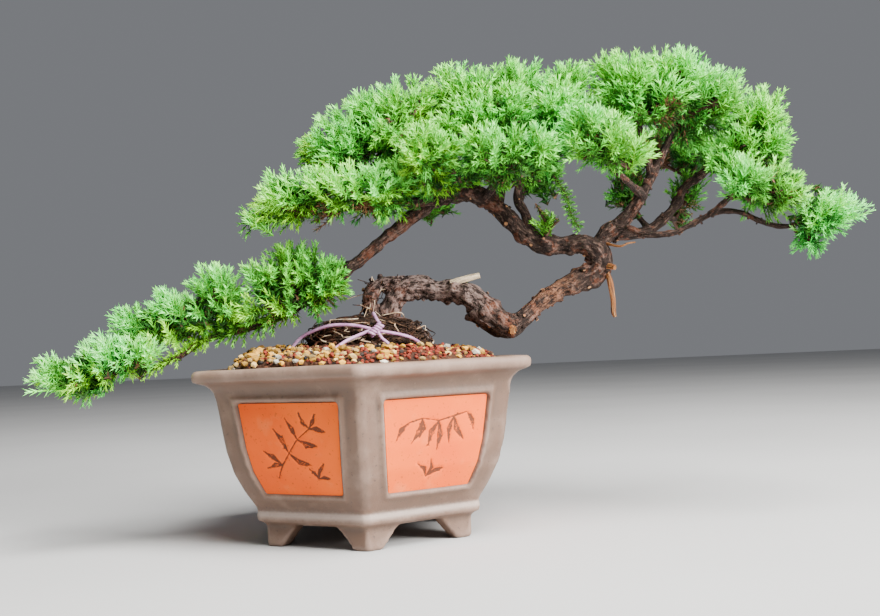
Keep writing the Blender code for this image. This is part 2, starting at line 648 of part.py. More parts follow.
def pad_core(name, lumps, collection):
    """The dense middle of a pad: its lumps, run together into one rough body with even facets."""
    bm = bmesh.new()
    necks = []
    for (a, size_a), (b, size_b) in zip(lumps, lumps[1:]):
        necks.append(((a + b) / 2, (size_a + size_b) * NECK_SHARE / 2))
    for centre, radii in lumps + necks:
        place = Matrix.Translation(centre) @ Matrix.Diagonal((*(radii * CORE_SHARE), 1))
        bmesh.ops.create_icosphere(bm, subdivisions=3, radius=1, matrix=place)
    core = object_from(bm, name, collection)
    remesh = core.modifiers.new("even_facets", "REMESH")
    remesh.mode = "VOXEL"
    remesh.voxel_size = min(FACET, FACET_SHARE * min(radii.x for _, radii in lumps))
    core.data = evaluated_mesh(core)
    core.modifiers.clear()
    for vert in core.data.vertices:
        centre = nearest_centre(vert.co, lumps)
        swell = 1 + CORE_ROUGHNESS * noise.noise(vert.co * ROUGHNESS_SCALE)
        vert.co = centre + (vert.co - centre) * swell
    return core


def nearest_centre(point, lumps):
    return min((centre for centre, _ in lumps), key=lambda centre: (point - centre).length)


def shoot_facets(facets, count):
    """Facets for the longer shoots, spread as widely as they can be over all but the underside."""
    waiting = [(face, face.calc_center_median()) for face in facets if face.normal.z > UNDERSIDE]
    chosen = [max(waiting, key=lambda item: item[1].z)]
    while len(chosen) < count:
        chosen.append(max(waiting, key=lambda item: min((item[1] - other[1]).length for other in chosen)))
    return [face for face, _ in chosen]


def grow_shoot(bm, face, joints, draws):
    """Draws a facet out into a slim twisted stem with needles round its further joints and on its end.
    Returns the shoot's corners and the middle of the facet that it grows from."""
    root = face.calc_center_median()
    sway = Vector((draws.uniform(-1, 1), draws.uniform(-1, 1), 0)) * SHOOT_SPREAD
    along = (face.normal + sway + Vector((0, 0, SHOOT_LIFT))).normalized()
    spin = Matrix.Rotation(SHOOT_TWIST, 3, along)
    needles = []
    corners = []
    for joint in range(joints):
        top = bmesh.ops.extrude_discrete_faces(bm, faces=[face])["faces"][0]
        sides = list({side for edge in top.edges for side in edge.link_faces} - {top})
        middle = top.calc_center_median()
        width = SHOOT_R * (1 - SHOOT_TAPER * joint) / (top.verts[0].co - middle).length
        for vert in top.verts:
            vert.co = middle + along * SHOOT_STEP + spin @ (vert.co - middle) * width
        sides = bmesh.ops.triangulate(bm, faces=sides)["faces"]
        needles += sides if joint else []
        corners += top.verts
        face = top
    for vert in bmesh.ops.poke(bm, faces=[*needles, face], offset=SHOOT_NEEDLE_OUT)["verts"]:
        vert.co += along * SHOOT_NEEDLE_LEAN
        corners.append(vert)
    return corners, root


def raise_needles(bm, twig_facet, count, draws):
    """Raises a needle on every facet of a core but one, and longer needled shoots on some of them.
    Returns the corners and the root of each needle and shoot."""
    facets = [face for face in bm.faces if face is not twig_facet]
    shoots = shoot_facets(facets, count)
    plain = [face for face in facets if face not in set(shoots)]
    raised = [grow_shoot(bm, face, joints, draws) for face, joints in zip(shoots, cycle(SHOOT_JOINTS))]
    roots = [(face.calc_center_median(), face.normal.copy(), math.sqrt(face.calc_area())) for face in plain]
    tips = bmesh.ops.poke(bm, faces=plain, offset=0)["verts"]
    for (root, normal, width), vert in zip(roots, tips):
        lean = Vector((draws.uniform(-1, 1), draws.uniform(-1, 1), draws.uniform(0, 2))) * NEEDLE_LEAN
        lean -= normal * min(lean.dot(normal), 0)
        vert.co = root + normal * min(NEEDLE_OUT, width * NEEDLE_STEEPNESS) + lean * width
        raised.append(([vert], root))
    return raised


def bend_clear(bm, pieces, others, clearance):
    """Draws each piece that would cross or touch a neighbour back to its root, until it stands clear."""
    bm.faces.ensure_lookup_table()
    for _ in range(BEND_ROUNDS):
        search = BVHTree.FromBMesh(bm)
        crossing = {mine for other in others for mine, _ in search.overlap(other)}
        touching = {vert for number in crossing for vert in bm.faces[number].verts}
        for other in others:
            touching |= {vert for vert in bm.verts if other.find_nearest(vert.co, clearance)[0]}
        moving = [(corners, root) for corners, root in pieces if touching.intersection(corners)]
        if not moving:
            break
        for corners, root in moving:
            for vert in corners:
                vert.co = vert.co.lerp(root, BEND_STEP)


def draw_twig(bm, facet, base, along):
    """Draws a facet of the pad out into the slim twig that ends at the branch, with a flat end on it."""
    middle = facet.calc_center_median()
    reach = base - middle
    collar = middle + reach.normalized() * min(TWIG_COLLAR, reach.length / 3)
    for place, facing in ((collar, -reach.normalized()), (base, along)):
        facet = bmesh.ops.extrude_discrete_faces(bm, faces=[facet])["faces"][0]
        turn = facet.normal.rotation_difference(-facing)
        middle = facet.calc_center_median()
        for vert in facet.verts:
            vert.co = place + (turn @ (vert.co - middle)).normalized() * TWIG_R


def branch_point(branch, knot):
    """Where a pad joins the wood and the way its twig sets out, at a branch's end or on top of it."""
    route = [Vector(point) for point in BRANCHES[branch]]
    if knot == -1:
        along = (route[-1] - route[-2]).xyz.normalized()
        return route[-1].xyz * MM + along * FIT_GAP, along
    along = (route[knot + 1] - route[knot - 1]).xyz.normalized()
    up = Vector((0, 0.25, 1))
    up = (up - along * up.dot(along)).normalized()
    surface = route[knot].xyz + up * route[knot][3] * (1 + BARK_KNOTS)
    return surface * MM + up * FIT_GAP, up


def make_pad(name, branch, knot, table, others, collection):
    """One foliage pad: its needled body, and the twig that carries it."""
    lumps = [(Vector(row[:3]) * MM, Vector(row[3:]) * MM) for row in table]
    pad = pad_core(name, lumps, collection)
    base, along = branch_point(branch, knot)
    bm = bmesh.new()
    bm.from_mesh(pad.data)
    bmesh.ops.triangulate(bm, faces=bm.faces)
    bend_clear(bm, [([vert], nearest_centre(vert.co, lumps)) for vert in bm.verts], others, CORE_CLEARANCE)
    bm.normal_update()
    twig_facet = min(bm.faces, key=lambda face: (face.calc_center_median() - base).length)
    raised = raise_needles(bm, twig_facet, SHOOTS_PER_LUMP * len(lumps), random.Random(name))
    bend_clear(bm, raised, others, CLEARANCE)
    bm.normal_update()
    draw_twig(bm, twig_facet, base, along)
    bm.to_mesh(pad.data)
    bm.free()
    return pad


def search_tree(obj):
    places = [vert.co for vert in obj.data.vertices]
    return BVHTree.FromPolygons(places, [face.vertices for face in obj.data.polygons])


def finish(obj, material):
    """Gives a piece its material, and smooth shading where the real one is round."""
    obj.data.materials.clear()
    obj.data.materials.append(material)
    if material.name in ("bark", "wire_cover"):
        obj.data.shade_smooth()
        obj.data.set_sharp_from_angle(angle=math.radians(60))


def centre_on_origin(pieces, collection):
    """Puts all the pieces on one empty and moves it, so that their box stands centred on the origin."""
    corners = [vert.co for obj in pieces for vert in obj.data.vertices]
    low, high = (Vector(pick(co[axis] for co in corners) for axis in range(3)) for pick in (min, max))
    carrier = bpy.data.objects.new("bonsai_origin", None)
    collection.objects.link(carrier)
    carrier.location = (-(low.x + high.x) / 2, -(low.y + high.y) / 2, 0)
    for obj in pieces:
        obj.parent = carrier


def main():
    clear_scene()
    materials = make_materials()
    bonsai = bpy.data.collections.new("juniper_bonsai")
    bpy.context.scene.collection.children.link(bonsai)

    pot = make_pot(bonsai)
    wire, wire_routes = make_wires(bonsai)
    soil = make_soil(wire_routes, bonsai)
    wood = make_wood(bonsai)
    standing = [search_tree(obj) for obj in (wood, soil, wire)]
    pads = []
    for name, (branch, knot, table) in PADS.items():
        pads.append(make_pad(f"foliage_{name}", branch, knot, table, standing, bonsai))
        standing.append(search_tree(pads[-1]))

    pieces = {
        "pot_clay": [pot],
        "panel_clay": make_panels(bonsai),
        "soil": [soil],
        "bark": [wood],
        "wire_cover": [wire],
        "needles": pads,
        "screen_plastic": [make_drain_screen(bonsai)],
    }
    for material, group in pieces.items():
        for obj in group:
            finish(obj, materials[material])
    centre_on_origin([obj for group in pieces.values() for obj in group], bonsai)


main()
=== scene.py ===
"""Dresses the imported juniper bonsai: a procumbens nana in its six-sided unglazed clay pot.

Lengths are metres. Tables whose names end in mm are millimetres from the pot's axis.
"""

import math
import random

import bmesh
import bpy
import numpy as np
from mathutils import Matrix, Vector, noise
from mathutils.bvhtree import BVHTree


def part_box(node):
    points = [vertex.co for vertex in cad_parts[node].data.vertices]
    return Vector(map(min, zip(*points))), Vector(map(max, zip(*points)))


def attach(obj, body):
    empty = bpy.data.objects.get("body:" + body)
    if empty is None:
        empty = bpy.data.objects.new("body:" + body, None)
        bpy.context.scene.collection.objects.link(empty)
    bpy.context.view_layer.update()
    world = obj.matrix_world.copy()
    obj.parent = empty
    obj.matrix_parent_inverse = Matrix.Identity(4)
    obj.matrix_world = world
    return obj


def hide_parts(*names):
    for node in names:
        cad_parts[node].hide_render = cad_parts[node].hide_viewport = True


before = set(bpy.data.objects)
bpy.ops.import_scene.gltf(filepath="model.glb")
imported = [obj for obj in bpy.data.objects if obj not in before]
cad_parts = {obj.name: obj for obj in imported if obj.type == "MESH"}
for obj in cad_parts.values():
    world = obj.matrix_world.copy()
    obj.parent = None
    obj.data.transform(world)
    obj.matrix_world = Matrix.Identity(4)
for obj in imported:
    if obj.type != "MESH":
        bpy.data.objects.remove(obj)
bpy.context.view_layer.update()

# The view. The camera stands 0.7 metres in front of the pot, at the height of its rim, turned a little
# to the right and upwards and rolled a little, as the photographer held it.

MM = 0.001
pot_low, pot_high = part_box("pot")
pot_axis = Vector(((pot_low.x + pot_high.x) / 2, (pot_low.y + pot_high.y) / 2, 0))

bearing, heading, pitch, roll = 0.034, 0.036, 0.037, 0.042
stand = pot_axis + Vector((0.7042 * math.sin(bearing), -0.7042 * math.cos(bearing), 0.1141))
ahead = Vector((math.sin(heading) * math.cos(pitch), math.cos(heading) * math.cos(pitch), math.sin(pitch)))
aim = ahead.to_track_quat("-Z", "Y") @ Matrix.Rotation(-roll, 3, "Z").to_quaternion()
camera = bpy.data.objects.new("camera", bpy.data.cameras.new("camera"))
camera.data.sensor_width = 36
camera.data.lens = 45
camera.data.clip_start = 0.02
camera.matrix_world = Matrix.LocRotScale(stand, aim, None)
bpy.context.scene.collection.objects.link(camera)
bpy.context.scene.camera = camera


# The pot is one bowl of unglazed purplish brown clay, pressed in a mould and joined at its corners. Its
# edges are a little soft and uneven from the hand that finished it, and worn paler where they stand out.
# Its hollows are darkened with painted shade, and the ledge above its feet is paler with a painted highlight.


class Value:
    """A socket in a material. Sums and products of values add Math nodes to the material."""

    def __init__(self, tree, socket=None):
        self.tree = tree
        self.socket = socket

    def node(self, kind, settings, inputs, output=0):
        made = self.tree.nodes.new(kind)
        for name, setting in settings.items():
            if name == "stops":
                ramp = made.color_ramp
                while len(ramp.elements) < len(setting):
                    ramp.elements.new(0.5)
                for element, (position, colour) in zip(ramp.elements, setting):
                    element.position = position
                    element.color = (*colour, 1)
            else:
                setattr(made, name, setting)
        for name, value in inputs.items():
            if isinstance(value, Value):
                self.tree.links.new(value.socket, made.inputs[name])
            else:
                made.inputs[name].default_value = value
        return Value(self.tree, made.outputs[output])

    def maths(self, operation, *terms):
        return self.node("ShaderNodeMath", {"operation": operation}, dict(enumerate(terms)))

    def __add__(self, other):
        return self.maths("ADD", self, other)

    __radd__ = __add__

    def __sub__(self, other):
        return self.maths("SUBTRACT", self, other)

    def __rsub__(self, other):
        return self.maths("SUBTRACT", other, self)

    def __mul__(self, other):
        return self.maths("MULTIPLY", self, other)

    __rmul__ = __mul__

    def between(self, low, high, start=0, end=1):
        """This value's share of the way from low to high, kept within it, as a number from start to end."""
        bounds = {"Value": self, "From Min": low, "From Max": high, "To Min": start, "To Max": end}
        return self.node("ShaderNodeMapRange", {}, bounds)

    def noise(self, scale, detail=3, rough=0.55):
        fields = {"Vector": self, "Scale": scale, "Detail": detail, "Roughness": rough}
        return self.node("ShaderNodeTexNoise", {}, fields)

    def ramp(self, *stops, interpolation="LINEAR"):
        made = self.node("ShaderNodeValToRGB", {"stops": stops}, {"Fac": self})
        made.socket.node.color_ramp.interpolation = interpolation
        return made

    def tint(self, one, two):
        """One colour where this value is 0, and the other where it is 1."""
        ends = [end if isinstance(end, Value) else (*end, 1) for end in (one, two)]
        inputs = {0: self, 6: ends[0], 7: ends[1]}
        return self.node("ShaderNodeMix", {"data_type": "RGBA"}, inputs, output=2)

    def bump(self, distance, strength=1.0):
        return self.node("ShaderNodeBump", {}, {"Height": self, "Distance": distance, "Strength": strength})

    def attribute(self, name):
        return self.node("ShaderNodeAttribute", {"attribute_name": name}, {}, output="Fac")


def start_material(name, roughness, specular=0.3):
    """A material with its shader, and the value that gives a place on the piece."""
    material = bpy.data.materials.new(name)
    material.use_nodes = True
    shader = material.node_tree.nodes["Principled BSDF"]
    shader.inputs["Roughness"].default_value = roughness
    shader.inputs["Specular IOR Level"].default_value = specular
    place = Value(material.node_tree).node("ShaderNodeTexCoord", {}, {}, output="Object")
    return material, shader, place


def feed(shader, **values):
    """Links values to the shader's sockets, which are named with underscores for spaces."""
    for name, value in values.items():
        value.tree.links.new(value.socket, shader.inputs[name.replace("_", " ")])


def link_object(name, mesh):
    made = bpy.data.objects.new(name, mesh)
    bpy.context.scene.collection.objects.link(made)
    return made


def settled(obj):
    """The object's mesh with its modifiers applied. The object itself is removed."""
    graph = bpy.context.evaluated_depsgraph_get()
    mesh = bpy.data.meshes.new_from_object(obj.evaluated_get(graph))
    bpy.data.objects.remove(obj)
    return mesh


def merged_copy(node):
    """A CAD node's shape as a new mesh, with its loose triangles joined."""
    bm = bmesh.new()
    bm.from_mesh(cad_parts[node].data)
    bmesh.ops.remove_doubles(bm, verts=bm.verts, dist=0.01 * MM)
    mesh = bpy.data.meshes.new(node)
    bm.to_mesh(mesh)
    bm.free()
    mesh.materials.clear()
    return mesh


def remeshed(mesh, voxel, smooth_rounds, kept_share=1.0):
    """The mesh made again of even small faces, with its edges softened."""
    obj = link_object("form", mesh)
    remesh = obj.modifiers.new("even", "REMESH")
    remesh.mode = "VOXEL"
    remesh.voxel_size = voxel
    soften = obj.modifiers.new("soften", "SMOOTH")
    soften.iterations = smooth_rounds
    if kept_share < 1:
        obj.modifiers.new("fewer", "DECIMATE").ratio = kept_share
    return settled(obj)


def handmade(place):
    """How far the maker's hands moved a point of the pot from where a ruler would have it."""
    from_axis = place - pot_axis
    swell = noise.noise_vector(from_axis * 16) * 0.35 * MM
    rim_share = min(max((place.z - 0.088) / 0.015, 0), 1)
    side = from_axis.x / 0.1
    sag = -1.1 * max(-side, 0) + 0.5 * max(side, 0) + 0.25 * noise.noise(from_axis * 31)
    return swell + Vector((0, 0, sag * MM * rim_share))


def as_array(collection, field, width=3):
    values = np.empty(len(collection) * width, dtype=np.float32)
    collection.foreach_get(field, values)
    return values.reshape(-1, width)


def standing_out(mesh, rounds):
    """How far each vertex stands out from the average of those round it, in metres."""
    places = as_array(mesh.vertices, "co")
    normals = as_array(mesh.vertices, "normal")
    ends = np.array([edge.vertices[:] for edge in mesh.edges])
    degree = np.bincount(ends.ravel(), minlength=len(places))[:, None]
    blurred = places
    for _ in range(rounds):
        total = np.zeros_like(places)
        np.add.at(total, ends[:, 0], blurred[ends[:, 1]])
        np.add.at(total, ends[:, 1], blurred[ends[:, 0]])
        blurred = total / degree
    return ((places - blurred) * normals).sum(axis=1)


pot_mesh = remeshed(merged_copy("pot"), 1.45 * MM, 1, kept_share=0.28)
for vert in pot_mesh.vertices:
    vert.co += handmade(vert.co)
# How far each vertex stands out: edges that stand out are worn paler, and the hollows get painted shade.
rubbed = pot_mesh.attributes.new("rubbed", "FLOAT", "POINT")
rubbed.data.foreach_set("value", standing_out(pot_mesh, 6) / (0.45 * MM))
# Painted highlight: the upward-facing ledge above the feet is made paler, standing in for the light that falls on it
# from above.
facing_up = as_array(pot_mesh.vertices, "normal")[:, 2]
heights = as_array(pot_mesh.vertices, "co")[:, 2] / MM
bloom = pot_mesh.attributes.new("bloom", "FLOAT", "POINT")
bloom.data.foreach_set("value", np.clip((facing_up + 0.25) / 0.4, 0, 1) * (heights > 15) * (heights < 31))
pot_mesh.shade_smooth()

clay, shader, place = start_material("purple_brown_clay", 0.7, specular=0.5)
firing = place.noise(14, 4)
smears = place.noise(55, 5, 0.65)
grit = place.noise(900, 2)
specks = place.noise(560, 1, 0.3)
smoky = place.noise(26, 5, 0.6)
colour = firing.between(0.35, 0.65).tint((0.115, 0.062, 0.038), (0.17, 0.102, 0.07))
colour = smears.between(0.5, 0.72, 0, 0.4).tint(colour, (0.27, 0.185, 0.14))
colour = smoky.between(0.54, 0.68, 0, 0.55).tint(colour, (0.085, 0.052, 0.036))
colour = specks.between(0.7, 0.74, 0, 0.6).tint(colour, (0.07, 0.045, 0.035))
wear_and_hollow_shade = place.attribute("rubbed") + (smears - 0.5) * 2.2
colour = wear_and_hollow_shade.between(0.35, 1.8, 0, 0.35).tint(colour, (0.34, 0.24, 0.19))
# Painted shade in the pot's hollows, where the standing-out measure falls below zero.
colour = wear_and_hollow_shade.between(-0.2, -1.2, 0, 0.6).tint(colour, (0.085, 0.055, 0.04))
# The painted highlight on the foot ledge.
colour = (place.attribute("bloom") * 0.75).tint(colour, (0.46, 0.37, 0.32))
feed(shader, Base_Color=colour, Roughness=smears.between(0.3, 0.7, 0.5, 0.72))
feed(shader, Normal=(grit * 0.6 + smears).bump(0.25 * MM, 0.6))
pot_mesh.materials.append(clay)

pot = link_object("clay_pot", pot_mesh)
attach(pot, "root")
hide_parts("pot")


# The panels are six slabs of orange clay let into the pot's sides. A spray of leaves was cut into each
# with a point while the clay was soft, and the cuts were rubbed with dark brown slip.

# Height of each level of a panel, with the pot's corner radius there
PANEL_CURVE_MM = [(33.3, 84.06), (46.65, 91.37), (60, 95.37), (73.35, 97.67), (86.7, 99.95)]
PANEL_MARGIN_MM = 15.3
PANEL_RECESS_MM = 0.8
PANEL_THICK_MM = 1.6

# Strokes across and up from a panel's middle: the points of each, and how far it bulges to both sides
BENDING_SPRAY_MM = [
    ([(-14, -17), (-9, -9), (-3, -2), (4, 6), (13, 12)], 0),
    ([(-9, -9), (-15, -4), (-21, -1)], 1.0),
    ([(-9, -9), (-14, -9), (-20, -11)], 0.9),
    ([(-3, -2), (-7, 6), (-12, 12)], 1.1),
    ([(-3, -2), (3, -7), (11, -9)], 1.0),
    ([(4, 6), (1, 12), (-3, 18)], 1.0),
    ([(4, 6), (10, 3), (17, 2)], 1.1),
    ([(13, 12), (16, 16), (18, 20)], 0.8),
    ([(13, 12), (18, 12), (24, 10)], 0.9),
    ([(13, 12), (9, 16), (7, 21)], 0.8),
    ([(14, -17), (16, -12), (20, -8)], 0.6),
    ([(14, -17), (18, -16), (22, -17)], 0.6),
    ([(14, -17), (12, -13), (9, -11)], 0.6),
]
HANGING_SPRAY_MM = [
    ([(21, 17), (12, 15), (2, 13), (-9, 15), (-18, 13)], 0),
    ([(12, 15), (14, 8), (19, 1)], 1.1),
    ([(12, 15), (9, 8), (9, 0)], 1.0),
    ([(2, 13), (3, 5), (1, -4)], 1.2),
    ([(2, 13), (-3, 7), (-5, -1)], 1.1),
    ([(-9, 15), (-11, 7), (-16, 1)], 1.1),
    ([(-9, 15), (-8, 9), (-11, 4)], 0.8),
    ([(-18, 13), (-23, 9), (-26, 3)], 0.9),
    ([(21, 17), (25, 12), (26, 6)], 0.8),
    ([(-4, -19), (-6, -14), (-11, -11)], 0.7),
    ([(-4, -19), (-1, -14), (-2, -9)], 0.7),
    ([(-4, -19), (1, -16), (7, -15)], 0.7),
]
GROOVE_HALF_MM = 0.43
GROOVE_DEPTH_MM = 0.5


def cut_lines(spray):
    """The straight cuts of a spray: a stem is cut twice, and a leaf five times, side by side."""
    lines = []
    for points, bulge in spray:
        for side in (-1, -0.4, 0.2, 0.6, 1) if bulge else (-0.3, 0.3):
            bent = [Vector(point) for point in points]
            along = (bent[-1] - bent[0]).normalized()
            bent[1] = bent[1] + Vector((-along.y, along.x)) * max(bulge * 1.4, 0.8) * side
            if bulge:
                bent[-1] = bent[-1].lerp(bent[1], 0.28 * abs(side - 0.2)) + Vector((0, 0.5)) * side
            lines += zip(bent, bent[1:])
    return np.array([(*start, *end) for start, end in lines])


def line_distance(spots, lines):
    """Distance of each spot from the nearest line, in the same units."""
    start, end = lines[:, :2], lines[:, 2:]
    along = end - start
    reach = spots[:, None] - start
    share = (reach * along).sum(axis=2) / (along**2).sum(axis=1)
    nearest = start + np.clip(share, 0, 1)[:, :, None] * along
    return np.linalg.norm(spots[:, None] - nearest, axis=2).min(axis=1)


orange_clay, shader, place = start_material("orange_panel_clay", 0.78, specular=0.15)
firing = place.noise(20, 3)
smears = place.noise(75, 5, 0.6)
colour = firing.between(0.35, 0.65).tint((0.78, 0.092, 0.006), (0.88, 0.135, 0.01))
colour = smears.between(0.56, 0.75, 0, 0.3).tint(colour, (0.86, 0.28, 0.11))
colour = place.noise(600, 1, 0.3).between(0.69, 0.73, 0, 0.45).tint(colour, (0.4, 0.07, 0.02))
cut = place.attribute("cut") + (place.noise(330, 5, 0.75) - 0.5) * 2.8
colour = cut.between(0.35, 0.75, 0, 0.9).tint(colour, (0.055, 0.03, 0.02))
feed(shader, Base_Color=colour, Roughness=smears.between(0.3, 0.7, 0.68, 0.9))
feed(shader, Normal=(place.noise(1100, 2) * 0.5 + smears).bump(0.2 * MM, 0.5))

for side in range(6):
    lines = cut_lines(BENDING_SPRAY_MM if side % 2 == 0 else HANGING_SPRAY_MM)
    bm = bmesh.new()
    bmesh.ops.create_grid(bm, x_segments=38, y_segments=30, size=1)
    low, high = PANEL_CURVE_MM[0][0], PANEL_CURVE_MM[-1][0]
    heights, radii = zip(*PANEL_CURVE_MM)
    for vert in bm.verts:
        height = (low + high) / 2 + vert.co.y * (high - low) / 2
        half_width = float(np.interp(height, heights, radii)) / 2 - PANEL_MARGIN_MM
        vert.co = Vector((vert.co.x * half_width, height - (low + high) / 2, 0))
    for _ in range(2):
        middles = np.array([((edge.verts[0].co + edge.verts[1].co) / 2).xy for edge in bm.edges])
        near = line_distance(middles, lines) < 1.1
        fine = [edge for edge, wanted in zip(bm.edges, near) if wanted]
        bmesh.ops.subdivide_edges(bm, edges=fine, cuts=1, use_grid_fill=True)
    bmesh.ops.triangulate(bm, faces=[face for face in bm.faces if len(face.verts) > 4])
    spots = np.array([vert.co.xy for vert in bm.verts])
    depths = np.clip(1.25 - line_distance(spots, lines) / GROOVE_HALF_MM, 0, 1)
    depth_layer = bm.verts.layers.float.new("cut")
    turn = Matrix.Rotation(math.radians(60 * side), 3, "Z")
    for vert, depth in zip(bm.verts, depths):
        vert[depth_layer] = depth
    rim = [edge for edge in bm.edges if edge.is_boundary]
    walls = bmesh.ops.extrude_edge_only(bm, edges=rim)["geom"]
    back_rim = [item for item in walls if isinstance(item, bmesh.types.BMVert)]
    behind = set(back_rim)
    bmesh.ops.contextual_create(bm, geom=[item for item in walls if isinstance(item, bmesh.types.BMEdge)])
    for vert in bm.verts:
        height = vert.co.y + (low + high) / 2
        out = float(np.interp(height, heights, radii)) * math.cos(math.radians(30)) - PANEL_RECESS_MM
        out -= PANEL_THICK_MM if vert in behind else GROOVE_DEPTH_MM * vert[depth_layer]
        vert.co = pot_axis + turn @ (Vector((out, vert.co.x, height)) * MM)
        vert.co += handmade(vert.co)
    bmesh.ops.recalc_face_normals(bm, faces=bm.faces)
    mesh = bpy.data.meshes.new("orange_panel")
    bm.to_mesh(mesh)
    bm.free()
    mesh.shade_smooth()
    mesh.set_sharp_from_angle(angle=math.radians(50))
    mesh.materials.append(orange_clay)
    panel = link_object(f"orange_panel_{side + 1}", mesh)
    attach(panel, "root")
    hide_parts(f"pot_panel_{side + 1}")


# The drain screen is a disc of black plastic net over the hole in the pot's floor. It is cut from sheet
# and lies loose under the soil.

screen_plastic, shader, place = start_material("black_net_plastic", 0.5)
dusty = place.noise(300, 4)
feed(shader, Base_Color=dusty.between(0.4, 0.7).tint((0.018, 0.018, 0.018), (0.08, 0.06, 0.045)))
feed(shader, Roughness=dusty.between(0.3, 0.7, 0.4, 0.75))
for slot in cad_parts["drain_screen"].material_slots:
    slot.material = screen_plastic


# The soil is a damp dark crumb of bark, grit and clay that fills the pot and is heaped to the middle.
# Loose gravel in yellow, cream, white and brick red lies over it, one or two stones deep.

soil_crumb, shader, place = start_material("dark_soil_crumb", 0.95, specular=0.15)
crumbs = place.node("ShaderNodeTexVoronoi", {}, {"Vector": place, "Scale": 420}, output="Distance")
damp = place.noise(60, 4)
colour = damp.between(0.35, 0.65).tint((0.02, 0.011, 0.008), (0.07, 0.03, 0.016))
colour = place.noise(260, 2).between(0.58, 0.66).tint(colour, (0.2, 0.055, 0.025))
feed(shader, Base_Color=colour, Roughness=damp.between(0.3, 0.7, 0.8, 1))
feed(shader, Normal=(damp - crumbs).bump(1.2 * MM))


def six_sided_reach(spot):
    """The distance from the pot's axis, measured square to the nearest of its six sides."""
    return max(abs(spot.x), abs(spot.x / 2 + spot.y * 0.866), abs(spot.x / 2 - spot.y * 0.866))


soil_mesh = remeshed(merged_copy("soil_and_gravel"), 2.2 * MM, 1, kept_share=0.4)
for vert in soil_mesh.vertices:
    from_axis = vert.co - pot_axis
    if vert.normal.z > 0.2 and from_axis.z > 90 * MM:
        inward = min(max(1 - from_axis.xy.length / (85 * MM), 0), 0.5)
        leftward = min(max((-25 * MM - from_axis.x) / (45 * MM), 0), 1)
        leftward *= min(max((82 * MM - six_sided_reach(from_axis)) / (12 * MM), 0), 1)
        vert.co.z -= (0.4 + 7 * inward - 4 * leftward + 0.8 * noise.noise(from_axis * 180)) * MM
soil_mesh.shade_smooth()
soil_mesh.materials.append(soil_crumb)
soil = link_object("soil_bed", soil_mesh)
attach(soil, "root")
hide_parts("soil_and_gravel")

soil_search = BVHTree.FromPolygons([vert.co for vert in soil_mesh.vertices],
                                   [face.vertices for face in soil_mesh.polygons])
draws = random.Random(5)
STONE_SHADES = {"brick": 0.08, "yellow": 0.25, "cream": 0.42, "white": 0.58, "brown": 0.75, "dark": 0.92}


def stone_template(draws):
    """One chip of stone about 1 unit across."""
    bm = bmesh.new()
    bmesh.ops.create_icosphere(bm, subdivisions=1, radius=0.5)
    for vert in bm.verts:
        vert.co *= draws.uniform(0.75, 1.15)
    blunt = draws.sample(bm.edges[:], 4)
    bmesh.ops.subdivide_edges(bm, edges=blunt, cuts=1)
    bmesh.ops.triangulate(bm, faces=bm.faces)
    bmesh.ops.scale(bm, vec=(1, draws.uniform(0.7, 1), draws.uniform(0.55, 0.85)), verts=bm.verts)
    uv = bm.loops.layers.uv.new("OFBake")
    for face in bm.faces:
        for loop in face.loops:
            # The palette's up coordinate follows the chip's height, so its lower side takes painted shade.
            loop[uv].uv = (0.03 * (loop.vert.co.x + loop.vert.co.y), 0.5 + 0.3 * loop.vert.co.z)
    mesh = bpy.data.meshes.new("stone")
    bm.to_mesh(mesh)
    bm.free()
    return mesh


def palette_spots(mesh):
    return as_array(mesh.uv_layers[0].data, "uv", 2)


def join_copy(whole, mesh, spots, matrix, across, up):
    """Adds a placed copy of a mesh that takes its colours from another spot of the palette."""
    made = mesh.copy()
    made.transform(matrix)
    made.uv_layers[0].data.foreach_set("uv", np.clip(spots + (across, up), 0.004, 0.996).ravel())
    whole.from_mesh(made)
    bpy.data.meshes.remove(made)


def pick_shade(at, draws):
    """The kind of stone at a place: brick red is commoner and finer to the right."""
    redness = 0.34 + 0.36 * min(max((at.x + 0.02) / 0.05, -1), 1) + 0.2 * noise.noise(at * 25)
    if draws.random() < redness:
        return "brick"
    return draws.choices(["yellow", "cream", "white", "brown", "dark"], [42, 17, 6, 20, 15])[0]


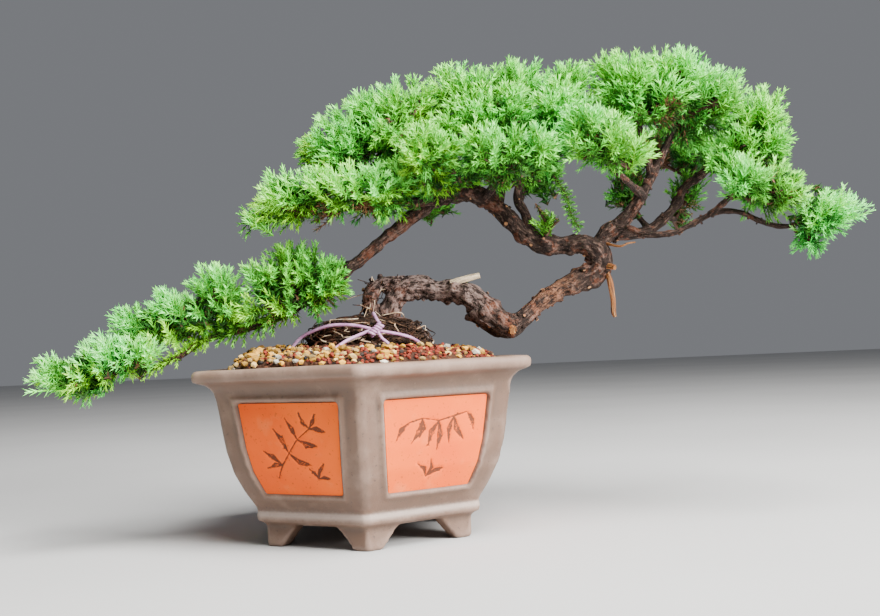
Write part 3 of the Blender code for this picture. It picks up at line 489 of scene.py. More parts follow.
stones = [stone_template(draws) for _ in range(12)]
stones = [(stone, palette_spots(stone)) for stone in stones]
bm = bmesh.new()
bm.loops.layers.uv.new("OFBake")
GRAVEL_RADIUS = 92 * MM
STONE_PACE = 3.45 * MM
steps = int(GRAVEL_RADIUS / STONE_PACE) + 1
for layer in range(2):
    for row in range(-steps, steps + 1):
        for column in range(-steps, steps + 1):
            if layer == 1 and draws.random() < 0.62:
                continue
            spot = Vector((column + draws.uniform(-0.4, 0.4), row + draws.uniform(-0.4, 0.4), 0)) * STONE_PACE
            on_ball = ((spot.x - 0.003) / 0.041) ** 2 + ((spot.y - 0.003) / 0.032) ** 2
            if six_sided_reach(spot) > 81 * MM or on_ball < 0.95 or draws.random() < 1.5 - 0.55 * on_ball:
                continue
            hit = soil_search.ray_cast(pot_axis + spot + Vector((0, 0, 0.3)), Vector((0, 0, -1)))[0]
            if hit is None:
                continue
            shade = pick_shade(spot, draws)
            if on_ball < 1.7 and draws.random() < 0.6:
                shade = draws.choice(["brick", "brown", "dark"])
            fine = shade in ("brick", "dark", "brown")
            size = (draws.triangular(2.3, 4.2, 3) if fine else draws.triangular(3.2, 6.6, 4.6)) * MM
            lift = size * (0.05 if layer == 0 else 0.35)
            turn = Matrix.Rotation(draws.uniform(0, 6.28), 4, "Z") @ Matrix.Rotation(draws.gauss(0, 0.5), 4, "X")
            at = Matrix.Translation(hit + Vector((0, 0, lift))) @ turn @ Matrix.Scale(size, 4)
            across = STONE_SHADES[shade] + draws.uniform(-0.035, 0.035)
            join_copy(bm, *draws.choice(stones), at, across, draws.uniform(-0.32, 0.18))
gravel_mesh = bpy.data.meshes.new("loose_gravel")
bm.to_mesh(gravel_mesh)
bm.free()
gravel_mesh.shade_flat()

gravel_stone, shader, place = start_material("gravel_stone", 0.75)
palette = place.node("ShaderNodeUVMap", {"uv_map": "OFBake"}, {})
sides = palette.node("ShaderNodeSeparateXYZ", {}, {"Vector": palette})
height = Value(sides.tree, sides.socket.node.outputs["Y"])
shades = [
    (0.0, (0.27, 0.035, 0.014)), (0.165, (0.7, 0.36, 0.045)), (0.335, (0.76, 0.5, 0.17)),
    (0.5, (0.85, 0.78, 0.62)), (0.665, (0.17, 0.06, 0.026)), (0.835, (0.03, 0.02, 0.016)),
]
bright = sides.ramp(*shades, interpolation="CONSTANT")
# A dark copy of the stone colours: it dulls some whole stones, and paints shade on the lower side of every stone.
dull_and_shaded = sides.ramp(*[(at, tuple(0.22 * part for part in shade)) for at, shade in shades],
                  interpolation="CONSTANT")
feed(shader, Base_Color=height.between(0.2, 0.75).tint(dull_and_shaded, bright))
gravel_mesh.materials.append(gravel_stone)
gravel = link_object("loose_gravel", gravel_mesh)
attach(gravel, "root")


# The wood is an old juniper trunk that doubles back on itself, with its living branches. It is one
# growth: knobbly, with stringy grey-brown bark that flakes off in red-brown patches.

# x, y, z and radius of each knot along the trunk and the branches
TRUNK_MM = [
    (14, 9, 114, 10), (14, 9, 120, 9), (13, 8, 127, 7.8), (17, 6, 139, 6.2), (22, 4, 150, 6.4), (33, 2, 155, 7),
    (48, 0, 152, 6.8), (62, -3, 150, 6.9), (74, -6, 143, 7.3), (83, -9, 133, 7.8), (91, -10, 127, 7),
    (101, -8, 131, 5.8), (112, -4, 140, 5.4), (124, 0, 148, 5.9), (139, 3, 154, 6.4), (151, 5, 159, 7.4),
    (155, 6, 167, 7.6), (150, 6, 175, 7), (142, 7, 178, 6.2), (129, 8, 178, 5.6), (118, 8, 180, 5.6),
    (107, 7, 186, 5.4), (98, 5, 194, 5), (90, 3, 203, 4.9), (81, 0, 210, 5.2), (70, -3, 213, 5),
    (58, -6, 211, 4.6), (47, -9, 208, 4.2),
]
BRANCHES_MM = {
    "cascade": [
        (49, -8, 209, 4), (36, -12, 200, 4), (24, -15, 190, 3.8), (13, -18, 182, 3.4), (3, -20, 173, 3.3),
        (-8, -22, 165, 3.2), (-22, -23, 153, 2.8), (-38, -24, 144, 2.6), (-56, -26, 136, 2.4),
        (-74, -28, 131, 2.2), (-95, -31, 126, 2), (-108, -34, 118, 1.9), (-120, -36, 112, 1.7),
        (-131, -37, 109, 1.5),
    ],
    "left_low": [(50, -9, 209, 3.4), (38, -20, 206, 2.8), (27, -28, 205, 2.2)],
    "left_upper": [(58, -6, 211, 3.8), (50, 0, 221, 3), (42, 5, 233, 2.6), (34, 6, 243, 2)],
    "left_front": [(60, -6, 211, 3), (54, -22, 214, 2.4), (49, -34, 217, 1.8)],
    "crown_left": [(72, -3, 212, 4), (78, 8, 229, 3), (84, 14, 247, 2.2)],
    "crown_front": [(81, 0, 210, 3), (84, -22, 213, 2.4), (86, -36, 216, 1.8)],
    "crown_mid": [
        (112, 7, 185, 3.4), (108, 8, 199, 2.8), (103, 9, 212, 2.6), (111, 10, 232, 2.2), (122, 9, 248, 1.8),
    ],
    "under_centre": [(104, 9, 209, 2), (109, 14, 216, 1.8), (113, 17, 220, 1.5)],
    "apex": [
        (152, 6, 173, 5.5), (159, 6, 183, 4.6), (168, 5, 190, 4.2), (176, 4, 198, 3.8), (184, 2, 209, 3.5),
        (189, 0, 219, 3.3), (195, -2, 230, 3), (202, -3, 243, 2.4), (206, -4, 252, 2),
    ],
    "front_centre": [(184, 2, 208, 2.4), (172, -20, 212, 2), (160, -42, 217, 1.5), (155, -54, 226, 0.9)],
    "apex_left": [(190, 0, 220, 2.6), (185, -8, 235, 2.2), (180, -13, 250, 1.8)],
    "right_inner": [
        (160, 7, 184, 4), (176, 13, 184, 3.6), (191, 17, 187, 3.4), (203, 20, 196, 3.1), (211, 22, 204, 2.9),
        (217, 21, 215, 2.5), (230, 16, 225, 2.1), (241, 10, 234, 1.7),
    ],
    "right_long": [
        (166, 4, 189, 2.4), (173, 0, 187, 2), (180, -5, 183, 1.9), (190, -10, 181, 1.8),
        (201, -12, 182, 1.8), (212, -14, 187, 1.7), (223, -15, 192, 1.7), (233, -15, 194, 1.6),
        (243, -16, 192, 1.5), (253, -16, 187, 1.4), (263, -18, 183, 1.3), (272, -20, 182, 1.2),
    ],
    "right_mid": [(223, -15, 192, 1.8), (228, -22, 197, 1.6), (232, -28, 201, 1.4)],
    "inner_right": [(191, 17, 187, 2.2), (187, 23, 194, 1.8), (183, 27, 202, 1.5)],
    "under_left": [(58, -6, 211, 2.6), (54, 6, 210, 2.2), (50, 13, 209, 1.6)],
    "back_left": [(60, -5, 212, 3), (55, 18, 220, 2.6), (48, 38, 228, 2)],
    "back_middle": [(90, 3, 203, 3), (95, 28, 217, 2.6), (101, 48, 230, 2)],
    "back_right": [(211, 22, 204, 2.6), (222, 40, 215, 2.2), (230, 52, 225, 1.7)],
    "trunk_tuft": [(120, 7, 182, 2), (121, 3, 189, 1.4)],
    "inner_low": [(203, 20, 196, 2), (211, 28, 194, 1.4)],
    "gnarl": [(25, 4, 152, 6), (16, 3, 157, 5.6), (9, 1, 155, 5.4), (5, 0, 148, 4.8), (6, 1, 139, 4.4), (9, 3, 128, 5)],
    "elbow_burl": [(73, -4, 141, 5.5), (78, -4, 135, 8.2), (84, -6, 130, 8.4), (90, -8, 128, 6)],
}
SURFACE_ROOTS_MM = [
    [(13, 8, 130, 7), (-3, 2, 135, 3.6), (-18, -4, 130.5, 2), (-30, -8, 121, 1.2)],
    [(13, 8, 130, 7), (8, -8, 133.5, 3.2), (4, -20, 126.5, 1.9), (2, -28, 116, 1.2)],
    [(13, 8, 130, 7), (27, 0, 131.5, 3.2), (36, -4, 125.5, 2), (43, -7, 116, 1.2)],
    [(13, 8, 130, 7), (22, 18, 130.5, 3.2), (26, 25, 124.8, 1.9), (28, 33, 114, 1.2)],
    [(13, 8, 130, 7), (-4, 16, 133, 3.2), (-14, 22, 127, 1.8), (-24, 27, 116, 1.2)],
]


def smooth_route(knots, pace):
    """Places and radii every pace along the smooth curve through the knots, all in metres."""
    rows = np.array(knots, dtype=float) * MM
    rows = np.vstack([2 * rows[0] - rows[1], rows, 2 * rows[-1] - rows[-2]])
    spots = []
    for before, start, end, after in zip(rows, rows[1:], rows[2:], rows[3:]):
        count = max(1, round(np.linalg.norm((end - start)[:3]) / pace))
        for share in np.arange(count) / count:
            bend = 2 * before - 5 * start + 4 * end - after
            twist = 3 * start - before - 3 * end + after
            spots.append((2 * start + (end - before) * share + bend * share**2 + twist * share**3) / 2)
    spots.append(rows[-2])
    return [(pot_axis + Vector(spot[:3]), max(float(spot[3]), 0.2 * MM)) for spot in spots]


def join_in(whole, bm):
    """Adds a finished small mesh to the whole one."""
    mesh = bpy.data.meshes.new("joined")
    bm.to_mesh(mesh)
    bm.free()
    whole.from_mesh(mesh)
    bpy.data.meshes.remove(mesh)


def grow_limb(whole, spots, sides, shape, material=0, cap_material=0):
    """Sweeps a ring of the given number of sides along the spots into a closed limb. The shape gives
    the radius's factor for a ring's angle, the length so far and the place."""
    bm = bmesh.new()
    grain = bm.loops.layers.uv.new("grain")
    ring = bmesh.ops.create_circle(bm, segments=sides, radius=1)["verts"]
    edges = list({edge for vert in ring for edge in vert.link_edges})
    out = Vector((0.3, 0.2, 1))
    length = 0.0
    where = {}
    first = ring
    for number, (at, radius) in enumerate(spots):
        ahead_spot = spots[min(number + 1, len(spots) - 1)][0]
        behind_spot = spots[max(number - 1, 0)][0]
        along = (ahead_spot - behind_spot).normalized()
        length += (at - behind_spot).length if number else 0
        out = (out - along * out.dot(along)).normalized()
        if number:
            made = bmesh.ops.extrude_edge_only(bm, edges=edges)["geom"]
            edges = [item for item in made if isinstance(item, bmesh.types.BMEdge)]
            fresh = {vert for vert in made if isinstance(vert, bmesh.types.BMVert)}
            ring = [next(edge.other_vert(vert) for edge in vert.link_edges if edge.other_vert(vert) in fresh)
                    for vert in ring]
        for spoke, vert in enumerate(ring):
            angle = 2 * math.pi * spoke / sides
            ray = out * math.cos(angle) + along.cross(out) * math.sin(angle)
            vert.co = at + ray * radius * shape(angle, length, at)
            where[vert] = (spoke / sides, length / 0.05)
    for face in bm.faces:
        wraps = any(where[vert][0] > 0.6 for vert in face.verts)
        for loop in face.loops:
            across, down = where[loop.vert]
            loop[grain].uv = (across + (wraps and across < 0.3), down)
    bmesh.ops.contextual_create(bm, geom=first)
    end_cap = bmesh.ops.contextual_create(bm, geom=ring)["faces"][0]
    for face in bm.faces:
        face.material_index = material
    end_cap.material_index = cap_material
    bmesh.ops.recalc_face_normals(bm, faces=bm.faces)
    join_in(whole, bm)


def scatter_knobs(draws, length, girth, pace):
    """Round scars of lost twigs, one every pace or so: angle and length, size, and share of the radius."""
    return [(draws.uniform(-math.pi, math.pi), draws.uniform(0, length), draws.uniform(1.7, 3.2) * MM,
             draws.uniform(0.1, 0.34), girth) for _ in range(int(length / pace))]


def bark_shape(seed, lumps, ridges, knobs=()):
    """A radius factor with swellings, and with stringy ridges that wind slowly round the limb."""
    def shape(angle, length, at):
        turn = angle + length * 9
        string = Vector((math.cos(turn) * 2.6, math.sin(turn) * 2.6, length * 55 + seed))
        fine = Vector((math.cos(turn) * 6, math.sin(turn) * 6, length * 160 + seed))
        swell = noise.noise((at + Vector((seed, 0, 0))) * 90) + 0.6 * noise.noise(string * 0.5)
        factor = 1 + lumps * swell + ridges * (noise.noise(string) + 0.6 * noise.noise(fine))
        for knob_angle, knob_length, size, height, girth in knobs:
            along = (length - knob_length) / size
            if abs(along) < 2:
                around = math.remainder(angle - knob_angle, 2 * math.pi) * girth / size
                factor += height * math.exp(-along**2 - around**2)
        return factor
    return shape


bm = bmesh.new()
bm.loops.layers.uv.new("grain")
limbs = [("trunk", TRUNK_MM, 34, 1.1)]
limbs += [(name, route, 16 if route[0][3] > 3.3 else 10, 1.6) for name, route in BRANCHES_MM.items()]
routes = {}
draws = random.Random(20)
for number, (name, knots, sides, pace) in enumerate(limbs):
    spots = smooth_route(knots, pace * MM)
    if name != "trunk":
        for place_number in range(min(4, len(spots))):
            at, radius = spots[place_number]
            spots[place_number] = (at, radius * (1.45 - 0.13 * place_number))
    routes[name] = spots
    girth = spots[len(spots) // 2][1]
    knobs = scatter_knobs(draws, len(spots) * pace * MM, girth, (1.5 if name == "trunk" else 2.6) * MM)
    rough = 0.42 if name in ("gnarl", "elbow_burl") else 0.22
    grow_limb(bm, spots, sides, bark_shape(number * 3.1, rough, rough * 0.75, knobs))
for number, knots in enumerate(SURFACE_ROOTS_MM):
    grow_limb(bm, smooth_route(knots, 1.6 * MM), 12, bark_shape(70 + number * 2.3, 0.2, 0.12))

# Small stubs stand out all over the trunk and the stouter branches. About a third end in a paler cut face.
draws = random.Random(21)
for name, count in (("trunk", 150), ("apex", 24), ("right_inner", 20), ("cascade", 26), ("right_long", 18),
                    ("crown_mid", 12), ("left_upper", 8), ("gnarl", 30), ("elbow_burl", 16)):
    spots = routes[name]
    for _ in range(count):
        number = draws.randrange(3, len(spots) - 2)
        at, radius = spots[number]
        along = (spots[number + 1][0] - spots[number - 1][0]).normalized()
        away = Vector([draws.gauss(0, 1) for _ in range(3)])
        away = (away - along * away.dot(along)).normalized()
        reach = draws.triangular(0.3, 2.2, 0.6) * MM
        thick = draws.uniform(0.7, 1.45) * MM * min(1, radius / (5 * MM) + 0.3)
        lean = (away + along * draws.uniform(-0.3, 0.3)).normalized()
        knob = [(at + away * radius * 0.7, thick * 1.7), (at + away * radius, thick * 1.25),
                (at + away * radius + lean * reach, thick)]
        grow_limb(bm, knob, 7, bark_shape(draws.uniform(0, 50), 0.3, 0.1), cap_material=draws.choice((1, 0, 0)))
wood_mesh = bpy.data.meshes.new("living_wood")
bm.to_mesh(wood_mesh)
bm.free()
wood_mesh.shade_smooth()
wood_mesh.set_sharp_from_angle(angle=math.radians(60))

bark, shader, place = start_material("stringy_juniper_bark", 0.92, specular=0.2)
grain = place.node("ShaderNodeUVMap", {"uv_map": "grain"}, {})
stretch = {"Vector": grain, "Scale": (9, 3, 1)}
strings = grain.node("ShaderNodeMapping", {}, stretch).noise(2.4, 6, 0.75)
patches = place.noise(70, 4, 0.6)
flakes = place.noise(230, 4, 0.7)
colour = strings.ramp((0.3, (0.005, 0.0035, 0.003)), (0.5, (0.021, 0.012, 0.009)), (0.66, (0.085, 0.05, 0.036)))
flaked = (patches * 0.6 + flakes * 0.5).between(0.57, 0.64, 0, 0.7)
colour = flaked.tint(colour, (0.13, 0.04, 0.018))
# Pale grey-pink on the raised strings: partly weathered bark, partly painted highlight.
weathered_strings_and_highlights = (strings * 0.7 + flakes * 0.4 + patches * 0.2).between(0.67, 0.8, 0, 0.6)
colour = weathered_strings_and_highlights.tint(colour, (0.23, 0.155, 0.128))
# Painted highlights: fine pale specks over the bark.
painted_highlight_specks = place.noise(480, 4, 0.65).between(0.58, 0.68, 0, 0.42)
colour = painted_highlight_specks.tint(colour, (0.2, 0.138, 0.112))
weathered = pot_axis + Vector((46, -3, 154)) * MM
nearness = place.node("ShaderNodeVectorMath", {"operation": "DISTANCE"}, {0: place, 1: weathered}, output="Value")
colour = (nearness.between(48 * MM, 24 * MM) * (flakes + strings).between(0.92, 1.1, 0, 0.7)).tint(
    colour, (0.3, 0.21, 0.185))
scuffed = pot_axis + Vector((118, -2, 150)) * MM
nearness = place.node("ShaderNodeVectorMath", {"operation": "DISTANCE"}, {0: place, 1: scuffed}, output="Value")
scuff = nearness.between(24 * MM, 8 * MM) * (flakes + strings).between(0.9, 1.15, 0, 0.75)
colour = scuff.tint(colour, (0.27, 0.12, 0.065))
feed(shader, Base_Color=colour, Roughness=flakes.between(0.3, 0.7, 0.8, 1))
feed(shader, Normal=(strings * 0.8 + flakes * 0.8).bump(1.9 * MM))
cut_wood, shader, place = start_material("cut_wood", 0.7)
rings = place.noise(400, 3)
feed(shader, Base_Color=rings.between(0.35, 0.65).tint((0.24, 0.08, 0.03), (0.5, 0.27, 0.13)))
wood_mesh.materials.append(bark)
wood_mesh.materials.append(cut_wood)
wood = link_object("living_wood", wood_mesh)
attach(wood, "root")
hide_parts("juniper_wood")


# The dead wood is what the grower stripped and left: a straw-yellow spike that hangs from the elbow, a
# thin pale twig beside it, and the cut stubs on the trunk. It is dry, cracked lengthwise and bare.

DEAD_WOOD_MM = [
    [(157, 3, 161, 1.6), (159, 1, 156, 1.7), (160, 0, 150, 1.8), (161, 0, 140, 1.5), (161, 0.5, 133, 1.5),
     (162, 1, 130, 1.1)],
    [(158, 3, 178, 1), (166, -4, 175, 0.7), (171, -5.5, 176.5, 0.55), (176, -6, 177, 0.4)],
    [(57, -6, 155, 2.6), (63, -7.5, 157, 2.2), (69, -8, 158.4, 2), (75, -8, 159.6, 1.8)],
    [(89, -11, 129, 4.4), (92, -14, 126, 3.6), (94, -17.5, 123.5, 2.6)],
    [(155, 3, 164, 2.6), (159, -2, 162.8, 1.9), (162, -6, 161.3, 1.5)],
]


def cracked_shape(angle, length, at):
    string = Vector((math.cos(angle) * 1.8, math.sin(angle) * 1.8, length * 30 + at.x))
    return 1 + 0.2 * noise.noise(string) + 0.12 * noise.noise(string * 3)


bm = bmesh.new()
bm.loops.layers.uv.new("grain")
for knots in DEAD_WOOD_MM:
    grow_limb(bm, smooth_route(knots, 1.2 * MM), 14, cracked_shape)
dead_mesh = bpy.data.meshes.new("dead_wood")
bm.to_mesh(dead_mesh)
bm.free()
dead_mesh.shade_smooth()
dead_mesh.set_sharp_from_angle(angle=math.radians(55))
bleached, shader, place = start_material("bleached_dead_wood", 0.7)
grain = place.node("ShaderNodeUVMap", {"uv_map": "grain"}, {})
strings = grain.node("ShaderNodeMapping", {}, {"Vector": grain, "Scale": (7, 1.4, 1)}).noise(1.6, 6, 0.7)
colour = strings.ramp((0.42, (0.05, 0.018, 0.008)), (0.53, (0.25, 0.085, 0.02)), (0.65, (0.56, 0.36, 0.16)))
fresh_stub = pot_axis + Vector((68, -7, 158)) * MM
nearness = place.node("ShaderNodeVectorMath", {"operation": "DISTANCE"}, {0: place, 1: fresh_stub}, output="Value")
colour = (nearness.between(40 * MM, 30 * MM) * strings.between(0.4, 0.5, 0.1, 0.9)).tint(colour, (0.76, 0.62, 0.42))
feed(shader, Base_Color=colour, Normal=strings.bump(0.8 * MM))
dead_mesh.materials.append(bleached)
dead_wood = link_object("dead_wood", dead_mesh)
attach(dead_wood, "root")


# The root ball is the old mat of fine roots and soil that stands above the gravel. It is a dark fibrous
# dome, and loose thin roots, brown and whitish, loop over it and out of it.

BALL_CENTRE = pot_axis + Vector((3, 3, 115)) * MM
BALL_RADII = Vector((39, 32, 23)) * MM


def on_ball(angle, height_share, lift):
    """A place on the dome: an angle round it and a share of the way up, lifted off by metres."""
    spread = math.sqrt(max(1 - height_share**2, 0))
    ray = Vector((math.cos(angle) * spread, math.sin(angle) * spread, height_share))
    surface = Vector((a * b for a, b in zip(ray, BALL_RADII)))
    ripple = 0.5 * noise.noise(ray * 5) + 0.5 * noise.noise(ray * 11)
    return BALL_CENTRE + surface * (1 + 0.12 * ripple) + ray * lift


bm = bmesh.new()
bm.loops.layers.uv.new("grain")
bmesh.ops.create_icosphere(bm, subdivisions=5, radius=1)
for vert in bm.verts:
    ray = vert.co.normalized()
    angle = math.atan2(ray.y, ray.x)
    vert.co = on_ball(angle, ray.z, 1.1 * MM * noise.noise(ray * 26) - 0.6 * MM)
draws = random.Random(33)
for number in range(300):
    angle = draws.uniform(0, 2 * math.pi)
    low_share = draws.uniform(-0.1, 0.5)
    high_share = min(low_share + draws.uniform(0.15, 0.55), 0.97)
    swing = draws.gauss(0, 0.8)
    stray = draws.random() < 0.3
    knots = []
    for share in np.linspace(0, 1, 6):
        bow = math.sin(share * math.pi) * (draws.uniform(2, 6) if stray else draws.uniform(0.2, 1.6)) * MM
        wander = draws.gauss(0, 0.12)
        at = on_ball(angle + swing * share + wander, low_share + (high_share - low_share) * share, bow)
        at.z += draws.gauss(0, 0.6) * MM
        knots.append((*((at - pot_axis) / MM), draws.uniform(0.2, 0.5) * (2 if number % 9 == 0 else 1)))
    material = 1 if stray and draws.random() < 0.3 else 0
    grow_limb(bm, smooth_route(knots, 2.2 * MM), 5, lambda angle, length, at: 1, material, material)
for _ in range(46):
    at, radius = draws.choice(routes["gnarl"])
    away = Vector((draws.gauss(-0.4, 0.7), draws.gauss(-0.5, 0.7), draws.gauss(0.1, 0.8))).normalized()
    fall = Vector((draws.gauss(-3, 3), draws.gauss(-2, 3), draws.uniform(-9, 3))) * MM
    start = (at + away * radius * 0.7 - pot_axis) / MM
    middle = start + away * draws.uniform(2, 6)
    end = middle + fall / MM
    hair = [(*start, 0.35), (*middle, 0.3), (*end, 0.22)]
    material = draws.choice((0, 0, 1))
    grow_limb(bm, smooth_route(hair, 2.2 * MM), 5, lambda angle, length, at: 1, material, material)
root_mesh = bpy.data.meshes.new("root_mat")
bm.to_mesh(root_mesh)
bm.free()
root_mesh.shade_smooth()
root_mat, shader, place = start_material("dark_root_mat", 0.95, specular=0.15)
fibres = place.noise(330, 5, 0.7)
patches = place.noise(60, 3)
colour = fibres.ramp((0.35, (0.007, 0.005, 0.004)), (0.52, (0.03, 0.016, 0.01)), (0.68, (0.13, 0.07, 0.04)))
colour = patches.between(0.55, 0.68, 0, 0.5).tint(colour, (0.13, 0.04, 0.02))
feed(shader, Base_Color=colour, Normal=fibres.bump(1.5 * MM))
pale_root, shader, place = start_material("pale_fine_root", 0.8)
feed(shader, Base_Color=place.noise(200, 3).between(0.35, 0.65).tint((0.3, 0.17, 0.09), (0.62, 0.5, 0.36)))
root_mesh.materials.append(root_mat)
root_mesh.materials.append(pale_root)
roots = link_object("root_mat", root_mesh)
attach(roots, "root")


# The tie wire is soft copper in a lilac plastic cover, two millimetres thick. Its strands hold the root
# ball down: they come out of the soil, cross over the dome and are twisted into one knot.

WIRE_STRANDS_MM = [
    [(-47, -21, 110), (-45, -19, 117), (-39, -20, 124), (-31, -23, 128), (-20, -27, 131), (-8, -29.5, 131),
     (2, -31, 129), (8, -32, 127), (15, -32.5, 125.6), (24, -30, 123.6), (31, -27, 121), (36, -23, 117),
     (39, -25, 110)],
    [(10, -31.5, 128), (5, -32.5, 127), (-1, -33.5, 124.8), (-8, -36, 122), (-13, -40, 119),
     (-17, -45, 115.5), (-19, -48, 110)],
    [(7, -20, 138), (9, -27, 134), (11, -31, 130), (9.5, -33, 127), (12, -34.5, 122), (16, -35, 118),
     (19, -36, 110)],
]


def wire_tube(name, spots, radius):
    curve = bpy.data.curves.new(name, "CURVE")
    curve.dimensions = "3D"
    curve.bevel_depth = radius
    curve.bevel_resolution = 3
    curve.use_fill_caps = True
    spline = curve.splines.new("POLY")
    spline.points.add(len(spots) - 1)
    for point, spot in zip(spline.points, spots):
        point.co = (*spot, 1)
    return settled(link_object(name, curve))


bm = bmesh.new()
for knots in WIRE_STRANDS_MM:
    spots = [at for at, _ in smooth_route([(*knot, 1) for knot in knots], 1.2 * MM)]
    mesh = wire_tube("strand", spots, 1.0 * MM)
    bm.from_mesh(mesh)
knot_centre = pot_axis + Vector((8.5, -33, 127.5)) * MM
lean = Vector((0.75, 0.1, 0.65)).normalized()
across = lean.cross(Vector((0, 1, 0))).normalized()
for phase in (0, math.pi):
    spots = []
    for share in np.linspace(0, 1, 40):
        angle = phase + share * 2 * math.pi * 2.5
        swing = across * math.cos(angle) + lean.cross(across) * math.sin(angle)
        spots.append(knot_centre + lean * (share - 0.5) * 9 * MM + swing * 1.5 * MM)
    bm.from_mesh(wire_tube("twist", spots, 0.95 * MM))
bmesh.ops.remove_doubles(bm, verts=bm.verts, dist=0.005 * MM)
bmesh.ops.recalc_face_normals(bm, faces=bm.faces)
wire_mesh = bpy.data.meshes.new("tie_wire_strands")
bm.to_mesh(wire_mesh)
bm.free()
wire_mesh.shade_smooth()
wire_cover, shader, place = start_material("lilac_wire_cover", 0.42, specular=0.5)
scuffs = place.noise(180, 4, 0.6)
colour = scuffs.between(0.35, 0.65).tint((0.33, 0.14, 0.3), (0.5, 0.28, 0.45))
colour = scuffs.between(0.66, 0.72, 0, 0.6).tint(colour, (0.3, 0.2, 0.16))
feed(shader, Base_Color=colour, Roughness=scuffs.between(0.3, 0.7, 0.35, 0.6))
wire_mesh.materials.append(wire_cover)
wire = link_object("tie_wire_strands", wire_mesh)
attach(wire, "root")
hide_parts("tie_wire")


# The foliage is 23 pads of juniper. Each is a cloud of short shoots on brown twigs, and every shoot is
# ringed by threes of sharp needles, mint green at its tip, bluish further back and brown where they died.

# Where a pad's colours lie on the palette: across it from bluish to yellowish green, up it from dead and
# bark browns through old dark green to bright young tips. Sprays also move up it as painted light and down it as
# painted shade.
BARK_ROW = 0.05
NEEDLE_WIDTH = 1.1 * MM
WHORL_PACE = 2.3 * MM


def paint(verts, uv, spot_of):
    for vert in verts:
        for loop in vert.link_loops:
            loop[uv].uv = spot_of(vert)


def add_needle(bm, uv, base, along, out, length, width, hue, age_and_painted_light):
    """Adds a needle: a slim three-sided spike with its keel outwards. It brightens towards its tip."""
    side = along.cross(out).normalized()
    keel = side.cross(along)
    turn = Matrix((side * width / 1.73, keel * width * 0.33, along * length)).transposed().to_4x4()
    at = Matrix.Translation(base + along * length / 2) @ turn
    made = bmesh.ops.create_cone(bm, cap_ends=True, segments=3, radius1=1, radius2=0, depth=1, matrix=at)
    tip = max(made["verts"], key=lambda vert: (vert.co - base).dot(along))
    corners = [vert for vert in made["verts"] if vert is not tip]
    spots = dict(zip(corners, ((-0.006, -0.05), (0.006, -0.05), (0, -0.07))))
    spots[tip] = (0, 0.07)
    paint(made["verts"], uv, lambda vert: (hue + spots[vert][0], age_and_painted_light + spots[vert][1]))


def add_twig(bm, uv, start, end, thick, thin, row=BARK_ROW, hue=0.2, sides=3):
    """Adds a straight tapered twig."""
    along = end - start
    at = Matrix.Translation((start + end) / 2) @ along.to_track_quat("Z", "Y").to_matrix().to_4x4()
    made = bmesh.ops.create_cone(
        bm, cap_ends=True, segments=sides, radius1=thick, radius2=thin, depth=along.length, matrix=at
    )
    middle = (start + end) / 2
    paint(made["verts"], uv, lambda vert: (
        hue + 0.02 * math.copysign(1, (vert.co - middle).x), row + 0.02 * math.copysign(1, (vert.co - middle).z)
        + 0.01 * math.copysign(1, (vert.co - middle).y)))


def add_finger(bm, uv, base, along, length, draws, wide, age_and_painted_light):
    """Adds one needled shoot: a thin stem with whorls of three needles and a tuft on its end."""
    age_and_painted_light += draws.uniform(-0.08, 0.08)
    stem_end = base + along * length
    add_twig(bm, uv, base, stem_end, 0.45 * MM, 0.3 * MM, row=0.42, hue=0.8)
    out = along.orthogonal().normalized()
    count = max(2, int((length - 1 * MM) / WHORL_PACE))
    for whorl in range(count + 1):
        share = whorl / count
        at = base + along * (0.6 * MM + (length - 0.6 * MM) * share)
        tilt = math.radians(60 - 34 * share + draws.uniform(-8, 8))
        size = (4.8 - 0.9 * share + draws.uniform(-0.5, 0.5)) * MM
        for arm in range(3):
            angle = whorl * math.radians(60) + arm * math.radians(120) + draws.uniform(-0.2, 0.2)
            ray = Matrix.Rotation(angle, 3, along) @ out
            lean = (along * math.cos(tilt) + ray * math.sin(tilt)).normalized()
            hue = 0.45 + draws.uniform(-0.12, 0.12)
            add_needle(bm, uv, at, lean, ray, size, wide, hue, age_and_painted_light + 0.26 * share + draws.uniform(-0.06, 0.06))
    for arm in range(3):
        ray = Matrix.Rotation(arm * 2.1 + 0.5, 3, along) @ out
        lean = (along + ray * 0.34).normalized()
        add_needle(bm, uv, stem_end - along * 0.6 * MM, lean, ray, 3.4 * MM, wide * 0.9, 0.45, age_and_painted_light + 0.33)


def spray_template(draws, wide, side_count, age_and_painted_light):
    """A small fan of shoots that points along +Z, its tip at the origin."""
    bm = bmesh.new()
    uv = bm.loops.layers.uv.new("OFBake")
    length = draws.uniform(13, 16) * MM
    base = Vector((0, 0, -length - 3 * MM))
    along = Vector((draws.uniform(-0.1, 0.1), draws.uniform(-0.08, 0.08), 1)).normalized()
    add_finger(bm, uv, base, along, length, draws, wide, age_and_painted_light)
    sides = [(0.12, 1), (0.3, -1), (0.5, 1), (0.62, -1)][:side_count]
    for share, side in sides:
        spread = side * draws.uniform(0.55, 0.85)
        lean = Vector((spread, draws.uniform(-0.3, 0.3), 1)).normalized()
        reach = (length * (1 - share) * draws.uniform(0.75, 0.95)) + 2 * MM
        add_finger(bm, uv, base + along * length * share, lean, reach, draws, wide, age_and_painted_light)
    mesh = bpy.data.meshes.new("spray")
    bm.to_mesh(mesh)
    bm.free()
    return mesh, palette_spots(mesh)


def spread_points(mesh, spacing):
    """Evenly spread places on a closed surface, with the surface's outward direction at each."""
    grid = remeshed(mesh.copy(), spacing, 0)
    return [(vert.co.copy(), vert.normal.copy()) for vert in grid.vertices]


